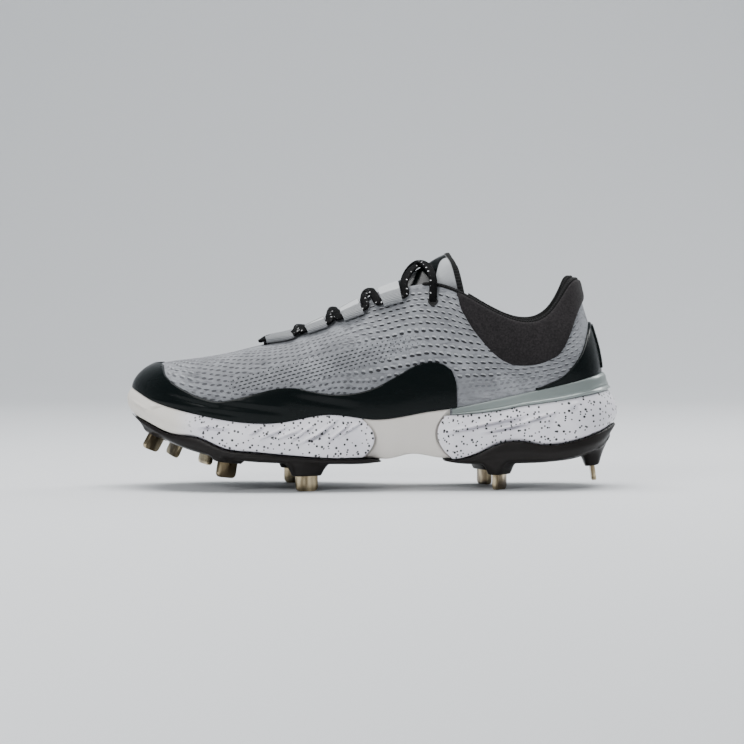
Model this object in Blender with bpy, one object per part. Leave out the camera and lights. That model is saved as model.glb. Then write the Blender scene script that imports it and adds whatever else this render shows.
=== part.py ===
"""A low-cut baseball cleat for the left foot, standing empty on its metal spikes.

The toe points to -X, the outer (lateral) side faces -Y, and the floor is z = 0.
Every form is worked out from one function, the surface of the last: it is a loft
through stations that run round the shoe, from the middle of the heel along the
lateral side to the toe and back along the medial side. Heights and places in the
tables are shares of the named sizes, so a row keeps its place when a size changes.
"""

import math

import bmesh
import bpy
import numpy as np
from mathutils import Matrix, Vector

# Driving dimensions, in metres
LENGTH = 0.298  # toe bumper to the back of the heel pod
HEIGHT = 0.143  # floor to the top of the tongue
BALL_WIDTH = 0.0945  # of the upper, across the ball of the foot
UPPER_WALL = 0.0024
OVERLAY = 0.0010  # mudguard and heel counter
PAD = 0.0018  # collar pad, at its thickest
PAD_EDGE = 0.0006  # collar pad, along its stitched edges
LINING = 0.0032
TONGUE = 0.0042  # under the laces; it is twice as thick at its top
INSOLE = 0.0035
SOLE_BULGE = 0.0060  # how far the sole's side stands out at the heel's flanks
LASTING_INSET = 0.003  # from the feather line in to the edge of the foot bed
KEEL_INSET = 0.010  # from the feather line in to the edge of the sole's middle
BAND_WALL = 0.0011  # heel band, at its thinnest
PLATE_BULGE = 0.0005  # an outsole plate's edge, beyond the foam
PLATE_CHAMFER = 0.0016  # in from that edge to the plate's underside
SPIKE_WIDTH = 0.0142
SPIKE_THICKNESS = 0.0027
SPIKE_HEIGHT = 0.0088
LOOP_WIDTH = 0.0125
LOOP_DROP = 0.0068  # from the throat's edge down to the middle of a loop's eye
LOOP_REACH = 0.0045  # from the edge in over the tongue
WEBBING = 0.0008
LACE_WIDTH = 0.0048
LACE_THICKNESS = 0.0022
STAY_WIDTH = 0.0120

# Clearances, in metres
GAP = 0.0003  # between faces that rest on each other
SKIN_GAP = 0.0005  # between curved layers, which also takes up their facets
FACET_GAP = 0.0008  # between layers whose facets differ: plate and foam, guard and toe
SEAM_GAP = SKIN_GAP  # each side of a seam between two foams

# Colour, roughness and metallic value of each material
MATERIALS = {
    "knit_grey": ((0.36, 0.37, 0.39), 0.85, 0.0),
    "gloss_black": ((0.006, 0.008, 0.008), 0.25, 0.0),
    "charcoal_cloth": ((0.032, 0.030, 0.032), 0.95, 0.0),
    "speckled_foam": ((0.76, 0.74, 0.78), 0.6, 0.0),
    "beige_foam": ((0.62, 0.58, 0.53), 0.55, 0.0),
    "silver_band": ((0.32, 0.35, 0.34), 0.35, 0.6),
    "black_plate": ((0.018, 0.016, 0.015), 0.4, 0.0),
    "spike_steel": ((0.62, 0.52, 0.38), 0.3, 1.0),
    "black_lace": ((0.010, 0.010, 0.011), 0.8, 0.0),
    "webbing_grey": ((0.22, 0.23, 0.24), 0.8, 0.0),
}

# The last, a row for each station from the middle of the heel (0) to the toe tip (15).
# low, top: place of the feather line and of the opening's edge, as shares of LENGTH
# lat, med: the feather line on each side; top_lat, top_med: the opening's edge there,
#   all as shares of BALL_WIDTH; rise: the opening's edge as a share of HEIGHT
# in1, up1: the side point, as shares of the way in and up from feather line to edge
# in2, up2: the shoulder point, in the same way
LAST = (
    # low, top, lat, med, top_lat, top_med, rise, in1, up1, in2, up2
    (0.964, 0.917, 0.026, 0.026, 0.026, 0.026, 0.879, 0.20, 0.30, 0.64, 0.65),
    (0.959, 0.912, -0.074, 0.127, -0.053, 0.106, 0.879, 0.20, 0.30, 0.62, 0.65),
    (0.940, 0.895, -0.212, 0.265, -0.148, 0.201, 0.852, 0.16, 0.30, 0.55, 0.65),
    (0.893, 0.858, -0.312, 0.360, -0.238, 0.286, 0.739, 0.00, 0.33, 0.40, 0.68),
    (0.822, 0.803, -0.339, 0.381, -0.280, 0.317, 0.703, 0.02, 0.33, 0.42, 0.68),
    (0.750, 0.738, -0.333, 0.360, -0.275, 0.302, 0.754, 0.02, 0.33, 0.38, 0.69),
    (0.669, 0.673, -0.339, 0.323, -0.249, 0.259, 0.828, 0.03, 0.32, 0.36, 0.68),
    (0.597, 0.608, -0.360, 0.312, -0.196, 0.206, 0.860, 0.03, 0.31, 0.34, 0.68),
    (0.506, 0.526, -0.407, 0.344, -0.164, 0.185, 0.820, 0.02, 0.30, 0.32, 0.68),
    (0.414, 0.444, -0.460, 0.418, -0.148, 0.175, 0.739, 0.00, 0.30, 0.32, 0.69),
    (0.322, 0.377, -0.497, 0.481, -0.138, 0.172, 0.675, -0.01, 0.30, 0.33, 0.72),
    (0.230, 0.330, -0.492, 0.492, -0.127, 0.166, 0.637, 0.00, 0.32, 0.36, 0.75),
    (0.149, 0.300, -0.429, 0.450, -0.112, 0.150, 0.614, 0.02, 0.36, 0.38, 0.78),
    (0.077, 0.283, -0.302, 0.360, -0.068, 0.112, 0.603, 0.04, 0.38, 0.42, 0.76),
    (0.033, 0.276, -0.116, 0.238, -0.020, 0.072, 0.599, 0.06, 0.36, 0.43, 0.72),
    (0.015, 0.274, 0.074, 0.074, 0.032, 0.032, 0.599, 0.07, 0.36, 0.43, 0.68),
)
TOE = len(LAST) - 1  # station of the toe tip
ROUND = 2 * TOE  # stations all the way round

# Heights along the sole, as shares of HEIGHT, at places that are shares of LENGTH
SOLE = (
    # place, feather, bed, bottom (of the midsole's side), keel (its middle), plate
    (0.000, 0.431, 0.412, 0.340, 0.336, 0.331),
    (0.014, 0.423, 0.387, 0.319, 0.314, 0.304),
    (0.047, 0.387, 0.323, 0.287, 0.278, 0.249),
    (0.092, 0.350, 0.268, 0.247, 0.234, 0.204),
    (0.149, 0.323, 0.232, 0.234, 0.195, 0.164),
    (0.210, 0.299, 0.208, 0.183, 0.168, 0.138),
    (0.271, 0.285, 0.195, 0.170, 0.153, 0.125),
    (0.353, 0.299, 0.191, 0.153, 0.144, 0.119),
    (0.424, 0.322, 0.198, 0.142, 0.139, 0.115),
    (0.495, 0.300, 0.208, 0.142, 0.137, 0.117),
    (0.526, 0.302, 0.212, 0.134, 0.134, 0.125),
    (0.581, 0.319, 0.223, 0.154, 0.154, 0.140),
    (0.638, 0.341, 0.232, 0.137, 0.137, 0.127),
    (0.669, 0.346, 0.234, 0.134, 0.133, 0.115),
    (0.709, 0.363, 0.237, 0.158, 0.143, 0.110),
    (0.750, 0.381, 0.238, 0.202, 0.149, 0.110),
    (0.785, 0.398, 0.238, 0.217, 0.151, 0.113),
    (0.852, 0.429, 0.239, 0.200, 0.152, 0.119),
    (0.934, 0.470, 0.242, 0.232, 0.170, 0.147),
    (0.975, 0.498, 0.246, 0.263, 0.204, 0.185),
    (1.000, 0.514, 0.249, 0.289, 0.270, 0.263),
)

# How far the sole's side stands out from the feather line, as shares of SOLE_BULGE,
# from its lip down to its bottom edge
SIDE_LEVELS = (0.0, 0.15, 0.40, 0.65, 0.85, 1.0)
POD_SIDE = (
    # station, then one value for each level
    (0, 1.00, 1.25, 1.62, 1.77, 1.72, 1.57),
    (3, 0.47, 0.70, 0.93, 1.00, 0.90, 0.73),
    (6, 0.33, 0.50, 0.67, 0.70, 0.60, 0.40),
    (9, 0.33, 0.53, 0.70, 0.77, 0.67, 0.50),
    (11, 0.30, 0.53, 0.77, 0.87, 0.80, 0.63),
    (13, 0.30, 0.50, 0.70, 0.77, 0.70, 0.57),
    (15, 0.30, 0.53, 0.73, 0.75, 0.67, 0.47),
)
ARCH_SIDE = (0.27, 0.33, 0.30, 0.12, -0.15, -0.45)

# Borders of the overlays as seen from the side: place and height shares
MUDGUARD_BORDER = (
    (0.078, 0.520), (0.0835, 0.487), (0.091, 0.468), (0.101, 0.451), (0.128, 0.419),
    (0.159, 0.393),
    (0.190, 0.378), (0.230, 0.389), (0.271, 0.412), (0.312, 0.431), (0.347, 0.433),
    (0.383, 0.418), (0.424, 0.406), (0.465, 0.410), (0.506, 0.433), (0.546, 0.476),
    (0.587, 0.523), (0.624, 0.538), (0.650, 0.520), (0.663, 0.489), (0.670, 0.433),
    (0.673, 0.370),
)
COUNTER_BORDER = (
    (0.815, 0.414), (0.852, 0.446), (0.887, 0.484), (0.911, 0.540), (0.926, 0.595),
    (0.936, 0.663), (0.940, 0.701), (0.964, 0.701),
)
PAD_BORDER = (
    (0.677, 0.769), (0.689, 0.722), (0.720, 0.629), (0.740, 0.582), (0.771, 0.535),
    (0.811, 0.523), (0.852, 0.542), (0.883, 0.588), (0.901, 0.663), (0.915, 0.743),
    (0.930, 0.794), (0.964, 0.794),
)
BAND_EDGE = (
    (0.648, 0.314), (0.720, 0.325), (0.760, 0.336), (0.801, 0.353), (0.842, 0.365),
    (0.883, 0.378), (0.924, 0.395), (0.964, 0.412), (0.989, 0.421),
)
# The seams between the pods and the arch, as seen from the side: their place at both
# ends and at mid height, and the heights of their ends
FRONT_SEAM = (0.482, 0.507, 0.140, 0.302)
REAR_SEAM = (0.660, 0.630, 0.134, 0.345)

# The tongue, a row for each section. Under the lacing a section passes the throat's
# edge at a station; above it, the section is an arch that falls to its sides.
TONGUE_UNDER = (
    # station, share up the wall at the edge, crest place, crest height, thickness
    (13.2, 0.93, 0.226, 0.550, 0.7),
    (12.4, 0.98, 0.275, 0.566, 0.8),
    (11.6, 1.00, 0.312, 0.612, 0.9),
    (10.8, 1.00, 0.345, 0.650, 1.0),
    (10.0, 1.00, 0.381, 0.690, 1.0),
    (9.0, 1.00, 0.449, 0.760, 1.0),
    (8.2, 1.00, 0.510, 0.827, 1.1),
    (7.5, 1.00, 0.560, 0.884, 1.3),
    (6.9, 1.00, 0.604, 0.939, 1.6),
)
TONGUE_FREE = (
    # crest place, crest height, half width (of BALL_WIDTH), fall, run back, thickness
    (0.634, 0.976, 0.200, 0.122, 0.026, 1.9),
    (0.657, 0.997, 0.218, 0.128, 0.031, 1.8),
)

LOOP_STATIONS = (11.55, 9.85, 8.82, 7.87)  # where the lace loops sit on the throat
EYELET = (6.75, 0.88)  # station and share up the wall of the top eyelet

# The spikes and their bosses, a row each: place and side as shares of LENGTH and
# BALL_WIDTH, lift of the tip as a share of HEIGHT, turn and pitch in degrees
SPIKES = (
    # name, place, side, lift, turn, pitch
    ("toe_lateral", 0.049, -0.150, 0.165, 56, 28),
    ("toe_medial", 0.087, 0.200, 0.126, -60, 24),
    ("front_medial", 0.152, 0.390, 0.082, -58, 12),
    ("front_lateral", 0.206, -0.390, 0.057, 44, 9),
    ("ball_medial", 0.340, 0.400, 0.0, -25, 0),
    ("ball_lateral", 0.369, -0.400, 0.0, 30, 0),
    ("heel_medial", 0.732, 0.270, 0.0, -62, 0),
    ("heel_lateral", 0.757, -0.240, 0.0, 60, 0),
    ("heel_back", 0.953, 0.026, 0.030, 90, -8),
)
BOSS_FOOT = (1.25, 3.2)  # a boss's lower face, as shares of the spike's width and thickness
BOSS_ROOT = (1.7, 5.5)  # its root in the plate, in the same way


def hermite(places, values):
    """A smooth line through values at places, as a function; flat beyond its ends."""
    places = np.asarray(places, float)
    values = np.asarray(values, float)
    slopes = np.gradient(values, places)

    def at(x):
        x = np.clip(np.asarray(x, float), places[0], places[-1])
        i = np.clip(np.searchsorted(places, x, side="right") - 1, 0, len(places) - 2)
        step = places[i + 1] - places[i]
        f = (x - places[i]) / step
        return (
            values[i] * (1 + 2 * f) * (1 - f) ** 2
            + slopes[i] * step * f * (1 - f) ** 2
            + values[i + 1] * f**2 * (3 - 2 * f)
            - slopes[i + 1] * step * f**2 * (1 - f)
        )

    return at


def closed_spline(values):
    """The cubic spline through values at 0, 1, 2 and so on that closes on itself."""
    values = np.asarray(values, float)
    count = len(values)
    system = 4 * np.eye(count)
    system += np.roll(np.eye(count), 1, axis=1) + np.roll(np.eye(count), -1, axis=1)
    turn = np.roll(values, -1, axis=0) - 2 * values + np.roll(values, 1, axis=0)
    bend = np.linalg.solve(system, 6 * turn)

    def at(u):
        whole = np.floor(u)
        i = whole.astype(int) % count
        j = (i + 1) % count
        f = (u - whole)[:, None]
        straight = (1 - f) * values[i] + f * values[j]
        return straight - f * (1 - f) * ((2 - f) * bend[i] + (1 + f) * bend[j]) / 6

    return at


def place(share):
    """X of a share of the shoe's length."""
    return (np.asarray(share, float) - 0.5) * LENGTH


def share_of(x):
    """The share of the shoe's length at X."""
    return np.asarray(x, float) / LENGTH + 0.5


SOLE_LINES = {
    name: hermite([row[0] for row in SOLE], [row[i] for row in SOLE])
    for i, name in enumerate(("feather", "bed", "bottom", "keel", "plate"), start=1)
}


def height(line, x):
    """Height of one of the sole's lines at X."""
    return SOLE_LINES[line](share_of(x)) * HEIGHT


def outward(points):
    """Plan normals, pointing out, of a closed loop of points."""
    along = np.roll(points, -1, axis=0) - np.roll(points, 1, axis=0)
    normal = np.stack([-along[:, 1], along[:, 0]], axis=1)
    return normal / np.linalg.norm(normal, axis=1)[:, None]


def last_levels():
    """The last's control loops, from the foot bed up to the opening's edge."""
    stations = [(row, 2, 4) for row in LAST]
    stations += [(row, 3, 5) for row in LAST[-2:0:-1]]
    rows = [row for row, low_side, top_side in stations]
    feather = np.zeros((ROUND, 3))
    edge = np.zeros((ROUND, 3))
    feather[:, 0] = [place(row[0]) for row in rows]
    feather[:, 1] = [row[low_side] * BALL_WIDTH for row, low_side, top_side in stations]
    feather[:, 2] = height("feather", feather[:, 0])
    edge[:, 0] = [place(row[1]) for row in rows]
    edge[:, 1] = [row[top_side] * BALL_WIDTH for row, low_side, top_side in stations]
    edge[:, 2] = [row[6] * HEIGHT for row in rows]
    bed = feather.copy()
    bed[:, :2] -= outward(feather[:, :2]) * LASTING_INSET
    bed[:, 2] = height("bed", bed[:, 0])
    levels = [bed, feather]
    for way_in, way_up in ((7, 8), (9, 10)):
        share = np.array([(row[way_in], row[way_in], row[way_up]) for row in rows])
        levels.append(feather + (edge - feather) * share)
    return levels + [edge]


LEVEL_SHARES = (0.0, 0.25, 0.45, 0.70, 1.0)  # of the way up, for each control loop
FEATHER = LEVEL_SHARES[1]
LEVELS = [closed_spline(loop) for loop in last_levels()]


def last(u, v):
    """Points of the last at stations u and shares v of the way up its columns."""
    u, v = np.broadcast_arrays(np.asarray(u, float), np.asarray(v, float))
    shape = u.shape
    u, v = u.ravel(), v.ravel()
    control = np.stack([level(u) for level in LEVELS], axis=1)
    span = np.linalg.norm(np.diff(control, axis=1), axis=2)
    knots = np.concatenate([np.zeros((len(u), 1)), np.cumsum(span, axis=1)], axis=1)
    slope = np.diff(control, axis=1) / span[:, :, None]
    system = np.zeros((len(u), 5, 5))
    right = np.zeros((len(u), 5, 3))
    system[:, 0, 0] = system[:, 4, 4] = 1
    for i in range(1, 4):
        system[:, i, i - 1] = span[:, i - 1]
        system[:, i, i] = 2 * (span[:, i - 1] + span[:, i])
        system[:, i, i + 1] = span[:, i]
        right[:, i] = 6 * (slope[:, i] - slope[:, i - 1])
    bend = np.linalg.solve(system, right)
    i = np.clip(np.searchsorted(LEVEL_SHARES, v, side="right") - 1, 0, 3)
    low = np.take(LEVEL_SHARES, i)
    f = ((v - low) / (np.take(LEVEL_SHARES, i + 1) - low))[:, None]
    n = np.arange(len(u))
    step = (knots[n, i + 1] - knots[n, i])[:, None]
    points = (1 - f) * control[n, i] + f * control[n, i + 1]
    points -= f * (1 - f) * step**2 * ((2 - f) * bend[n, i] + (1 + f) * bend[n, i + 1]) / 6
    return points.reshape(shape + (3,))


def normal(u, v):
    """The last's normals, pointing out."""
    du, dv = 0.02, 0.01
    low, high = np.clip(np.asarray(v) - dv, 0, 1), np.clip(np.asarray(v) + dv, 0, 1)
    along = last(np.asarray(u) + du, v) - last(np.asarray(u) - du, v)
    up = last(u, high) - last(u, low)
    out = np.cross(up, along)
    return out / np.linalg.norm(out, axis=-1)[..., None]


def layer(u, v, offset):
    """The last's surface moved out by offset; a negative one lies inside the shoe."""
    offset = np.asarray(offset, float)
    return last(u, v) + normal(u, v) * offset[..., None]


def solve(function, low, high):
    """The place between low and high where a rising function passes zero."""
    low, high = np.array(low, float), np.array(high, float)
    for _ in range(40):
        middle = (low + high) / 2
        under = function(middle) < 0
        low = np.where(under, middle, low)
        high = np.where(under, high, middle)
    return (low + high) / 2


def border(table, u, least=FEATHER):
    """How far up each column meets a border that is given as seen from the side."""
    line = hermite([row[0] for row in table], [row[1] for row in table])

    def above(v):
        points = last(u, v)
        return points[..., 2] - line(share_of(points[..., 0])) * HEIGHT

    return solve(above, np.full(len(u), least), np.ones(len(u)))


def station_at(target, v, low, high):
    """The station between low and high where the column at v has X = target."""
    rising = last(high, v)[0] > last(low, v)[0]
    sign = 1 if rising else -1
    return float(solve(lambda u: sign * (last(u, v)[..., 0] - target), low, high))


def material(name):
    """The named material, made once."""
    found = bpy.data.materials.get(name)
    if found:
        return found
    colour, roughness, metallic = MATERIALS[name]
    made = bpy.data.materials.new(name)
    made.use_nodes = True
    shader = made.node_tree.nodes["Principled BSDF"]
    shader.inputs["Base Color"].default_value = (*colour, 1)
    shader.inputs["Roughness"].default_value = roughness
    shader.inputs["Metallic"].default_value = metallic
    made.diffuse_color = (*colour, 1)
    return made


def solid(name, points, faces, finish, sharp=40):
    """A closed object of points and faces, welded and turned outward."""
    mesh = bpy.data.meshes.new(name)
    mesh.from_pydata([tuple(map(float, p)) for p in points], [], faces)
    work = bmesh.new()
    work.from_mesh(mesh)
    bmesh.ops.remove_doubles(work, verts=work.verts, dist=1e-6)
    bmesh.ops.dissolve_degenerate(work, edges=work.edges, dist=1e-7)
    bmesh.ops.recalc_face_normals(work, faces=work.faces)
    work.to_mesh(mesh)
    work.free()
    mesh.shade_smooth()
    mesh.set_sharp_from_angle(angle=math.radians(sharp))
    mesh.materials.append(material(finish))
    made = bpy.data.objects.new(name, mesh)
    bpy.context.scene.collection.objects.link(made)
    return made


def strip_cap(count):
    """Faces that close a section whose first half runs out and second half back."""
    return [(j, j + 1, count - 2 - j, count - 1 - j) for j in range(count // 2 - 1)]


def skin(name, sections, finish, closed=False, cap=None, tips=(), sharp=40):
    """A solid through sections of equal count; closed joins the last to the first.

    An end named in tips has come together in a line and needs no cap.
    """
    sections = np.asarray(sections)
    rows, count = sections.shape[:2]
    faces = []
    for i in range(rows if closed else rows - 1):
        a, b = i * count, (i + 1) % rows * count
        for j in range(count):
            k = (j + 1) % count
            faces.append((a + j, a + k, b + k, b + j))
    for end in (() if closed else {0, rows - 1} - {t % rows for t in tips}):
        faces += [tuple(end * count + j for j in face) for face in cap or strip_cap(count)]
    return solid(name, sections.reshape(-1, 3), faces, finish, sharp)


def wall(name, u, v_low, v_high, inner, outer, finish, rows=5):
    """A layer over part of the last: between v_low and v_high on each column u.

    inner and outer are offsets, one value for each row from bottom to top.
    """
    share = np.linspace(0, 1, rows)
    v = v_low[:, None] + (v_high - v_low)[:, None] * share
    spread_u = np.repeat(np.asarray(u, float)[:, None], rows, axis=1)
    outside = layer(spread_u, v, np.broadcast_to(outer, v.shape))
    inside = layer(spread_u, v, np.broadcast_to(inner, v.shape))
    sections = np.concatenate([outside, inside[:, ::-1]], axis=1)
    return skin(name, sections, finish)


def spaced(start, end, count, ends=0.5):
    """Values from start to end, closer together near both of them."""
    t = np.linspace(0, 1, count)
    eased = t - ends * np.sin(2 * np.pi * t) / (2 * np.pi)
    return start + (end - start) * eased


def upper():
    """The hollow upper: open at collar and throat, and underneath."""
    columns = 2 * ROUND
    u = np.arange(columns) / 2
    v = np.array([0, 0.25, 0.37, 0.50, 0.64, 0.78, 0.90, 1.0])
    uu, vv = np.meshgrid(u, v, indexing="ij")
    outside = last(uu, vv)
    inside = layer(uu, vv, np.full(uu.shape, -UPPER_WALL))
    sections = np.concatenate([outside, inside[:, ::-1]], axis=1)
    return skin("upper", sections, "knit_grey", closed=True)


def mudguard():
    """The black guard from the arch round the toe, drawn over the toe box."""
    start = station_at(place(0.671), FEATHER, 5.0, 8.0)
    u = spaced(start, ROUND - start, 39, -0.3)
    low = np.full(len(u), FEATHER + 0.012)
    high = np.maximum(border(MUDGUARD_BORDER, u), low + 0.02)
    outer = FACET_GAP + OVERLAY * np.array([0.8, 1, 1, 1, 1, 0.6])
    return wall("mudguard", u, low, high, FACET_GAP, outer, "gloss_black", rows=6)


def heel_counter():
    """The black counter round the heel."""
    start = station_at(place(0.828), FEATHER, 3.0, 5.0)
    u = spaced(-start, start, 21, 0.0)
    low = np.full(len(u), FEATHER + 0.012)
    high = np.maximum(border(COUNTER_BORDER, u), low + 0.02)
    outer = SKIN_GAP + OVERLAY * np.array([0.8, 1, 1, 1, 0.6])
    return wall("heel_counter", u, low, high, SKIN_GAP, outer, "gloss_black")


def heel_stay():
    """The upright strip over the back of the counter."""
    reach = STAY_WIDTH / 2 / np.linalg.norm(last(0.5, 0.5) - last(0.0, 0.5)) * 0.5
    u = np.linspace(-reach, reach, 5)
    low = np.full(len(u), FEATHER + 0.03)
    high = border(COUNTER_BORDER, u) - 0.02
    inner = 2 * SKIN_GAP + OVERLAY
    return wall("heel_stay", u, low, high, inner, inner + OVERLAY * 0.8, "gloss_black")


def collar_pad():
    """The padded collar cover, from its curved lower border up to the edge."""
    start = station_at(place(0.684), 1.0, 5.0, 7.0)
    u = spaced(-start, start, 33, 0.3)
    high = np.ones(len(u))
    low = np.minimum(border(PAD_BORDER, u), high - 0.03)
    swell = np.sin(np.linspace(0.12, 0.88, 6) * np.pi)
    outer = SKIN_GAP + PAD_EDGE + (PAD - PAD_EDGE) * swell
    return wall("collar_pad", u, low, high, SKIN_GAP, outer, "charcoal_cloth", rows=6)


LINING_SECTION = (
    # share up the wall, then inward and above the wall's edge as shares of LINING
    (1.00, 0.00, 1.06), (1.00, 0.60, 0.81), (0.93, 1.00, 0.00), (0.80, 1.00, 0.00),
    (0.62, 0.70, 0.00), (0.52, 0.25, 0.00), (0.52, 0.00, 0.00), (0.62, 0.00, 0.00),
    (0.80, 0.00, 0.00), (0.93, 0.00, 0.00), (1.00, 0.00, 0.00), (1.00, -0.19, 0.75),
)


def collar_lining():
    """The padded lining inside the collar, rolled up above its edge."""
    start = station_at(place(0.697), 1.0, 5.0, 7.0)
    u = spaced(-start, start, 27, 0.3)
    sections = []
    for share, inward, rise in LINING_SECTION:
        depth = UPPER_WALL + SKIN_GAP + inward * LINING
        row = layer(u, np.full(len(u), share), np.full(len(u), -depth))
        sections.append(row + np.array([0, 0, rise * LINING]))
    return skin("collar_lining", np.stack(sections, axis=1), "charcoal_cloth")


def plan_normal(u):
    """Plan normals, pointing out, of the feather line at stations u."""
    along = last(u + 0.02, FEATHER) - last(u - 0.02, FEATHER)
    out = np.stack([-along[..., 1], along[..., 0], np.zeros(np.shape(u))], axis=-1)
    return out / np.linalg.norm(out, axis=-1)[..., None]


def side_station(u):
    """The station of the table's side, lateral or medial, that u stands at."""
    u = np.mod(u, ROUND)
    return np.minimum(u, ROUND - u)


POD_LINES = [
    hermite([row[0] for row in POD_SIDE], [row[j] for row in POD_SIDE])
    for j in range(1, len(SIDE_LEVELS) + 1)
]


def rim_share(u, under_band):
    """How far up the last's columns the midsole's lip lies."""
    if not under_band:
        return FEATHER
    edge = hermite([row[0] for row in BAND_EDGE], [row[1] for row in BAND_EDGE])
    bed, feather = last(u, 0.0), last(u, FEATHER)
    lip = edge(share_of(feather[..., 0])) * HEIGHT
    share = (lip - bed[..., 2]) / (feather[..., 2] - bed[..., 2])
    return FEATHER * np.clip(share, 0.2, 1.0)


def side_point(u, level, kind):
    """A point of the sole's outer side at a level; kind is pod, heel or arch."""
    base = last(u, FEATHER)
    if kind == "arch":
        stand = ARCH_SIDE[level] * SOLE_BULGE
    else:
        stand = POD_LINES[level](side_station(u)) * SOLE_BULGE
    point = base + plan_normal(u) * np.asarray(stand)[..., None]
    lip = last(u, rim_share(u, kind == "heel"))[..., 2]
    foot = height("bottom", point[..., 0])
    point[..., 2] = lip + (foot - lip) * SIDE_LEVELS[level]
    return point


def midsole_point(c, u, kind):
    """Point c of the midsole's section: keel, up the side, over the lip, to the bed."""
    levels = len(SIDE_LEVELS)
    if c == 0:
        point = last(u, FEATHER) - plan_normal(u) * KEEL_INSET
        point[..., 2] = height("keel", point[..., 0])
        return point
    if c <= levels:
        return side_point(u, levels - c, kind)
    if c < 2 * levels:
        share = SIDE_LEVELS[c - levels - 1] / SIDE_LEVELS[-2]
        v = rim_share(u, kind == "heel") * (1 - share)
        point = last(u, v) + plan_normal(u) * SKIN_GAP
        point[..., 2] -= SKIN_GAP * share
        return point
    point = last(u, 0.0) - plan_normal(u) * KEEL_INSET * 0.7
    point[..., 2] = height("bed", point[..., 0]) - SKIN_GAP
    return point


MIDSOLE_POINTS = 2 * len(SIDE_LEVELS) + 1


def seam_place(seam, z, shift):
    """X of a seam at height z: an arc that bows between the sole's top and bottom."""
    end, middle, low, high = seam
    t = np.clip((z / HEIGHT - low) / (high - low), 0, 1)
    return place(end + (middle - end) * 4 * t * (1 - t)) + shift


def seam_stations(make, count, seam, shift, low, high):
    """For each point of a section, the station where it meets the seam."""
    found = []
    for c in range(count):
        def ahead(u, c=c):
            point = make(c, u)
            return point[..., 0] - seam_place(seam, point[..., 2], shift)
        rising = ahead(np.array([high]))[0] > ahead(np.array([low]))[0]
        sign = 1 if rising else -1
        found.append(solve(lambda u: sign * ahead(u), [low], [high])[0])
    return np.array(found)


def both_sides(make, count, start, end, rows, ease=0.0):
    """Sections from start to end, given as lateral stations for each of their points."""
    sections = []
    for t in spaced(0, 1, rows, ease):
        ring = []
        for side in (1, -1):
            points = []
            for c in range(count):
                u = start[side][c] + (end[side][c] - start[side][c]) * t
                points.append(make(c, np.array([u]))[0])
            ring += points if side == 1 else points[::-1]
        sections.append(ring)
    return sections


def u_cap():
    """Faces that close a midsole's end: its two walls and the floor between them."""
    levels = len(SIDE_LEVELS)
    last_index = 2 * MIDSOLE_POINTS - 1
    sides = [(levels - j, levels + 1 + j, levels + 2 + j, levels - 1 - j)
             for j in range(levels - 1)]
    sides.append((1, 2 * levels, 0))
    other = [tuple(last_index - j for j in reversed(face)) for face in sides]
    floor = (0, 2 * levels, last_index - 2 * levels, last_index)
    return sides + other + [floor]


def tip_stations(count, station):
    """The same station for every point of a section, on both sides."""
    return {1: np.full(count, float(station)), -1: np.full(count, float(ROUND - station))}


def seam_pair(make, count, seam, shift, low, high):
    """The seam's stations on the lateral and the medial side."""
    return {
        1: seam_stations(make, count, seam, shift, low, high),
        -1: seam_stations(make, count, seam, shift, ROUND - high, ROUND - low),
    }


def midsole_forefoot():
    """The toe bumper and forefoot pod in one piece of foam."""
    def make(c, u):
        return midsole_point(c, u, "pod")
    start = seam_pair(make, MIDSOLE_POINTS, FRONT_SEAM, -SEAM_GAP, 5.0, 12.0)
    end = tip_stations(MIDSOLE_POINTS, TOE)
    end[-1][:] = TOE
    sections = both_sides(make, MIDSOLE_POINTS, start, end, 19)
    return skin("midsole_forefoot", sections, "speckled_foam", cap=u_cap(), tips=[-1])


def midsole_arch():
    """The plain waist between the pods."""
    def make(c, u):
        return midsole_point(c, u, "arch")
    start = seam_pair(make, MIDSOLE_POINTS, REAR_SEAM, -SEAM_GAP, 4.0, 9.0)
    end = seam_pair(make, MIDSOLE_POINTS, FRONT_SEAM, SEAM_GAP, 5.0, 12.0)
    sections = both_sides(make, MIDSOLE_POINTS, start, end, 5)
    return skin("midsole_arch", sections, "beige_foam", cap=u_cap())


def midsole_heel():
    """The heel pod, whose lip carries the band."""
    def make(c, u):
        return midsole_point(c, u, "heel")
    start = seam_pair(make, MIDSOLE_POINTS, REAR_SEAM, SEAM_GAP, 4.0, 9.0)
    end = {1: np.zeros(MIDSOLE_POINTS), -1: np.full(MIDSOLE_POINTS, float(ROUND))}
    sections = both_sides(make, MIDSOLE_POINTS, start, end, 15)
    return skin("midsole_heel", sections, "speckled_foam", cap=u_cap(), tips=[-1])


BAND_SECTION = (
    # share of the way up from the lip, share of the lip's stand
    (0.0, 0.95), (0.12, 1.05), (0.5, 0.72), (0.9, 0.42), (1.0, 0.22),
)


def heel_band():
    """The moulded band round the heel, between the pod's lip and the upper."""
    start = station_at(place(0.668), FEATHER, 5.0, 8.0)
    u = spaced(-start, start, 27, 0.0)
    lip = rim_share(u, True)
    top = np.full(len(u), FEATHER)
    out_low = POD_LINES[0](side_station(u)) * SOLE_BULGE
    sections = []
    for share, stand in BAND_SECTION:
        base = last(u, top)
        stand_out = BAND_WALL + (out_low - BAND_WALL) * stand
        point = base + plan_normal(u) * stand_out[:, None]
        low_z = last(u, lip)[:, 2] + GAP
        point[:, 2] = low_z + (last(u, top)[:, 2] - low_z) * share
        sections.append(point)
    for share, stand in BAND_SECTION[::-1]:
        v = lip + (top - lip) * share
        point = last(u, v) + plan_normal(u) * SKIN_GAP
        point[:, 2] += GAP * (1 - share)
        sections.append(point)
    return skin("heel_band", np.stack(sections, axis=1), "silver_band")


PLATE_POINTS = 5


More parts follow.
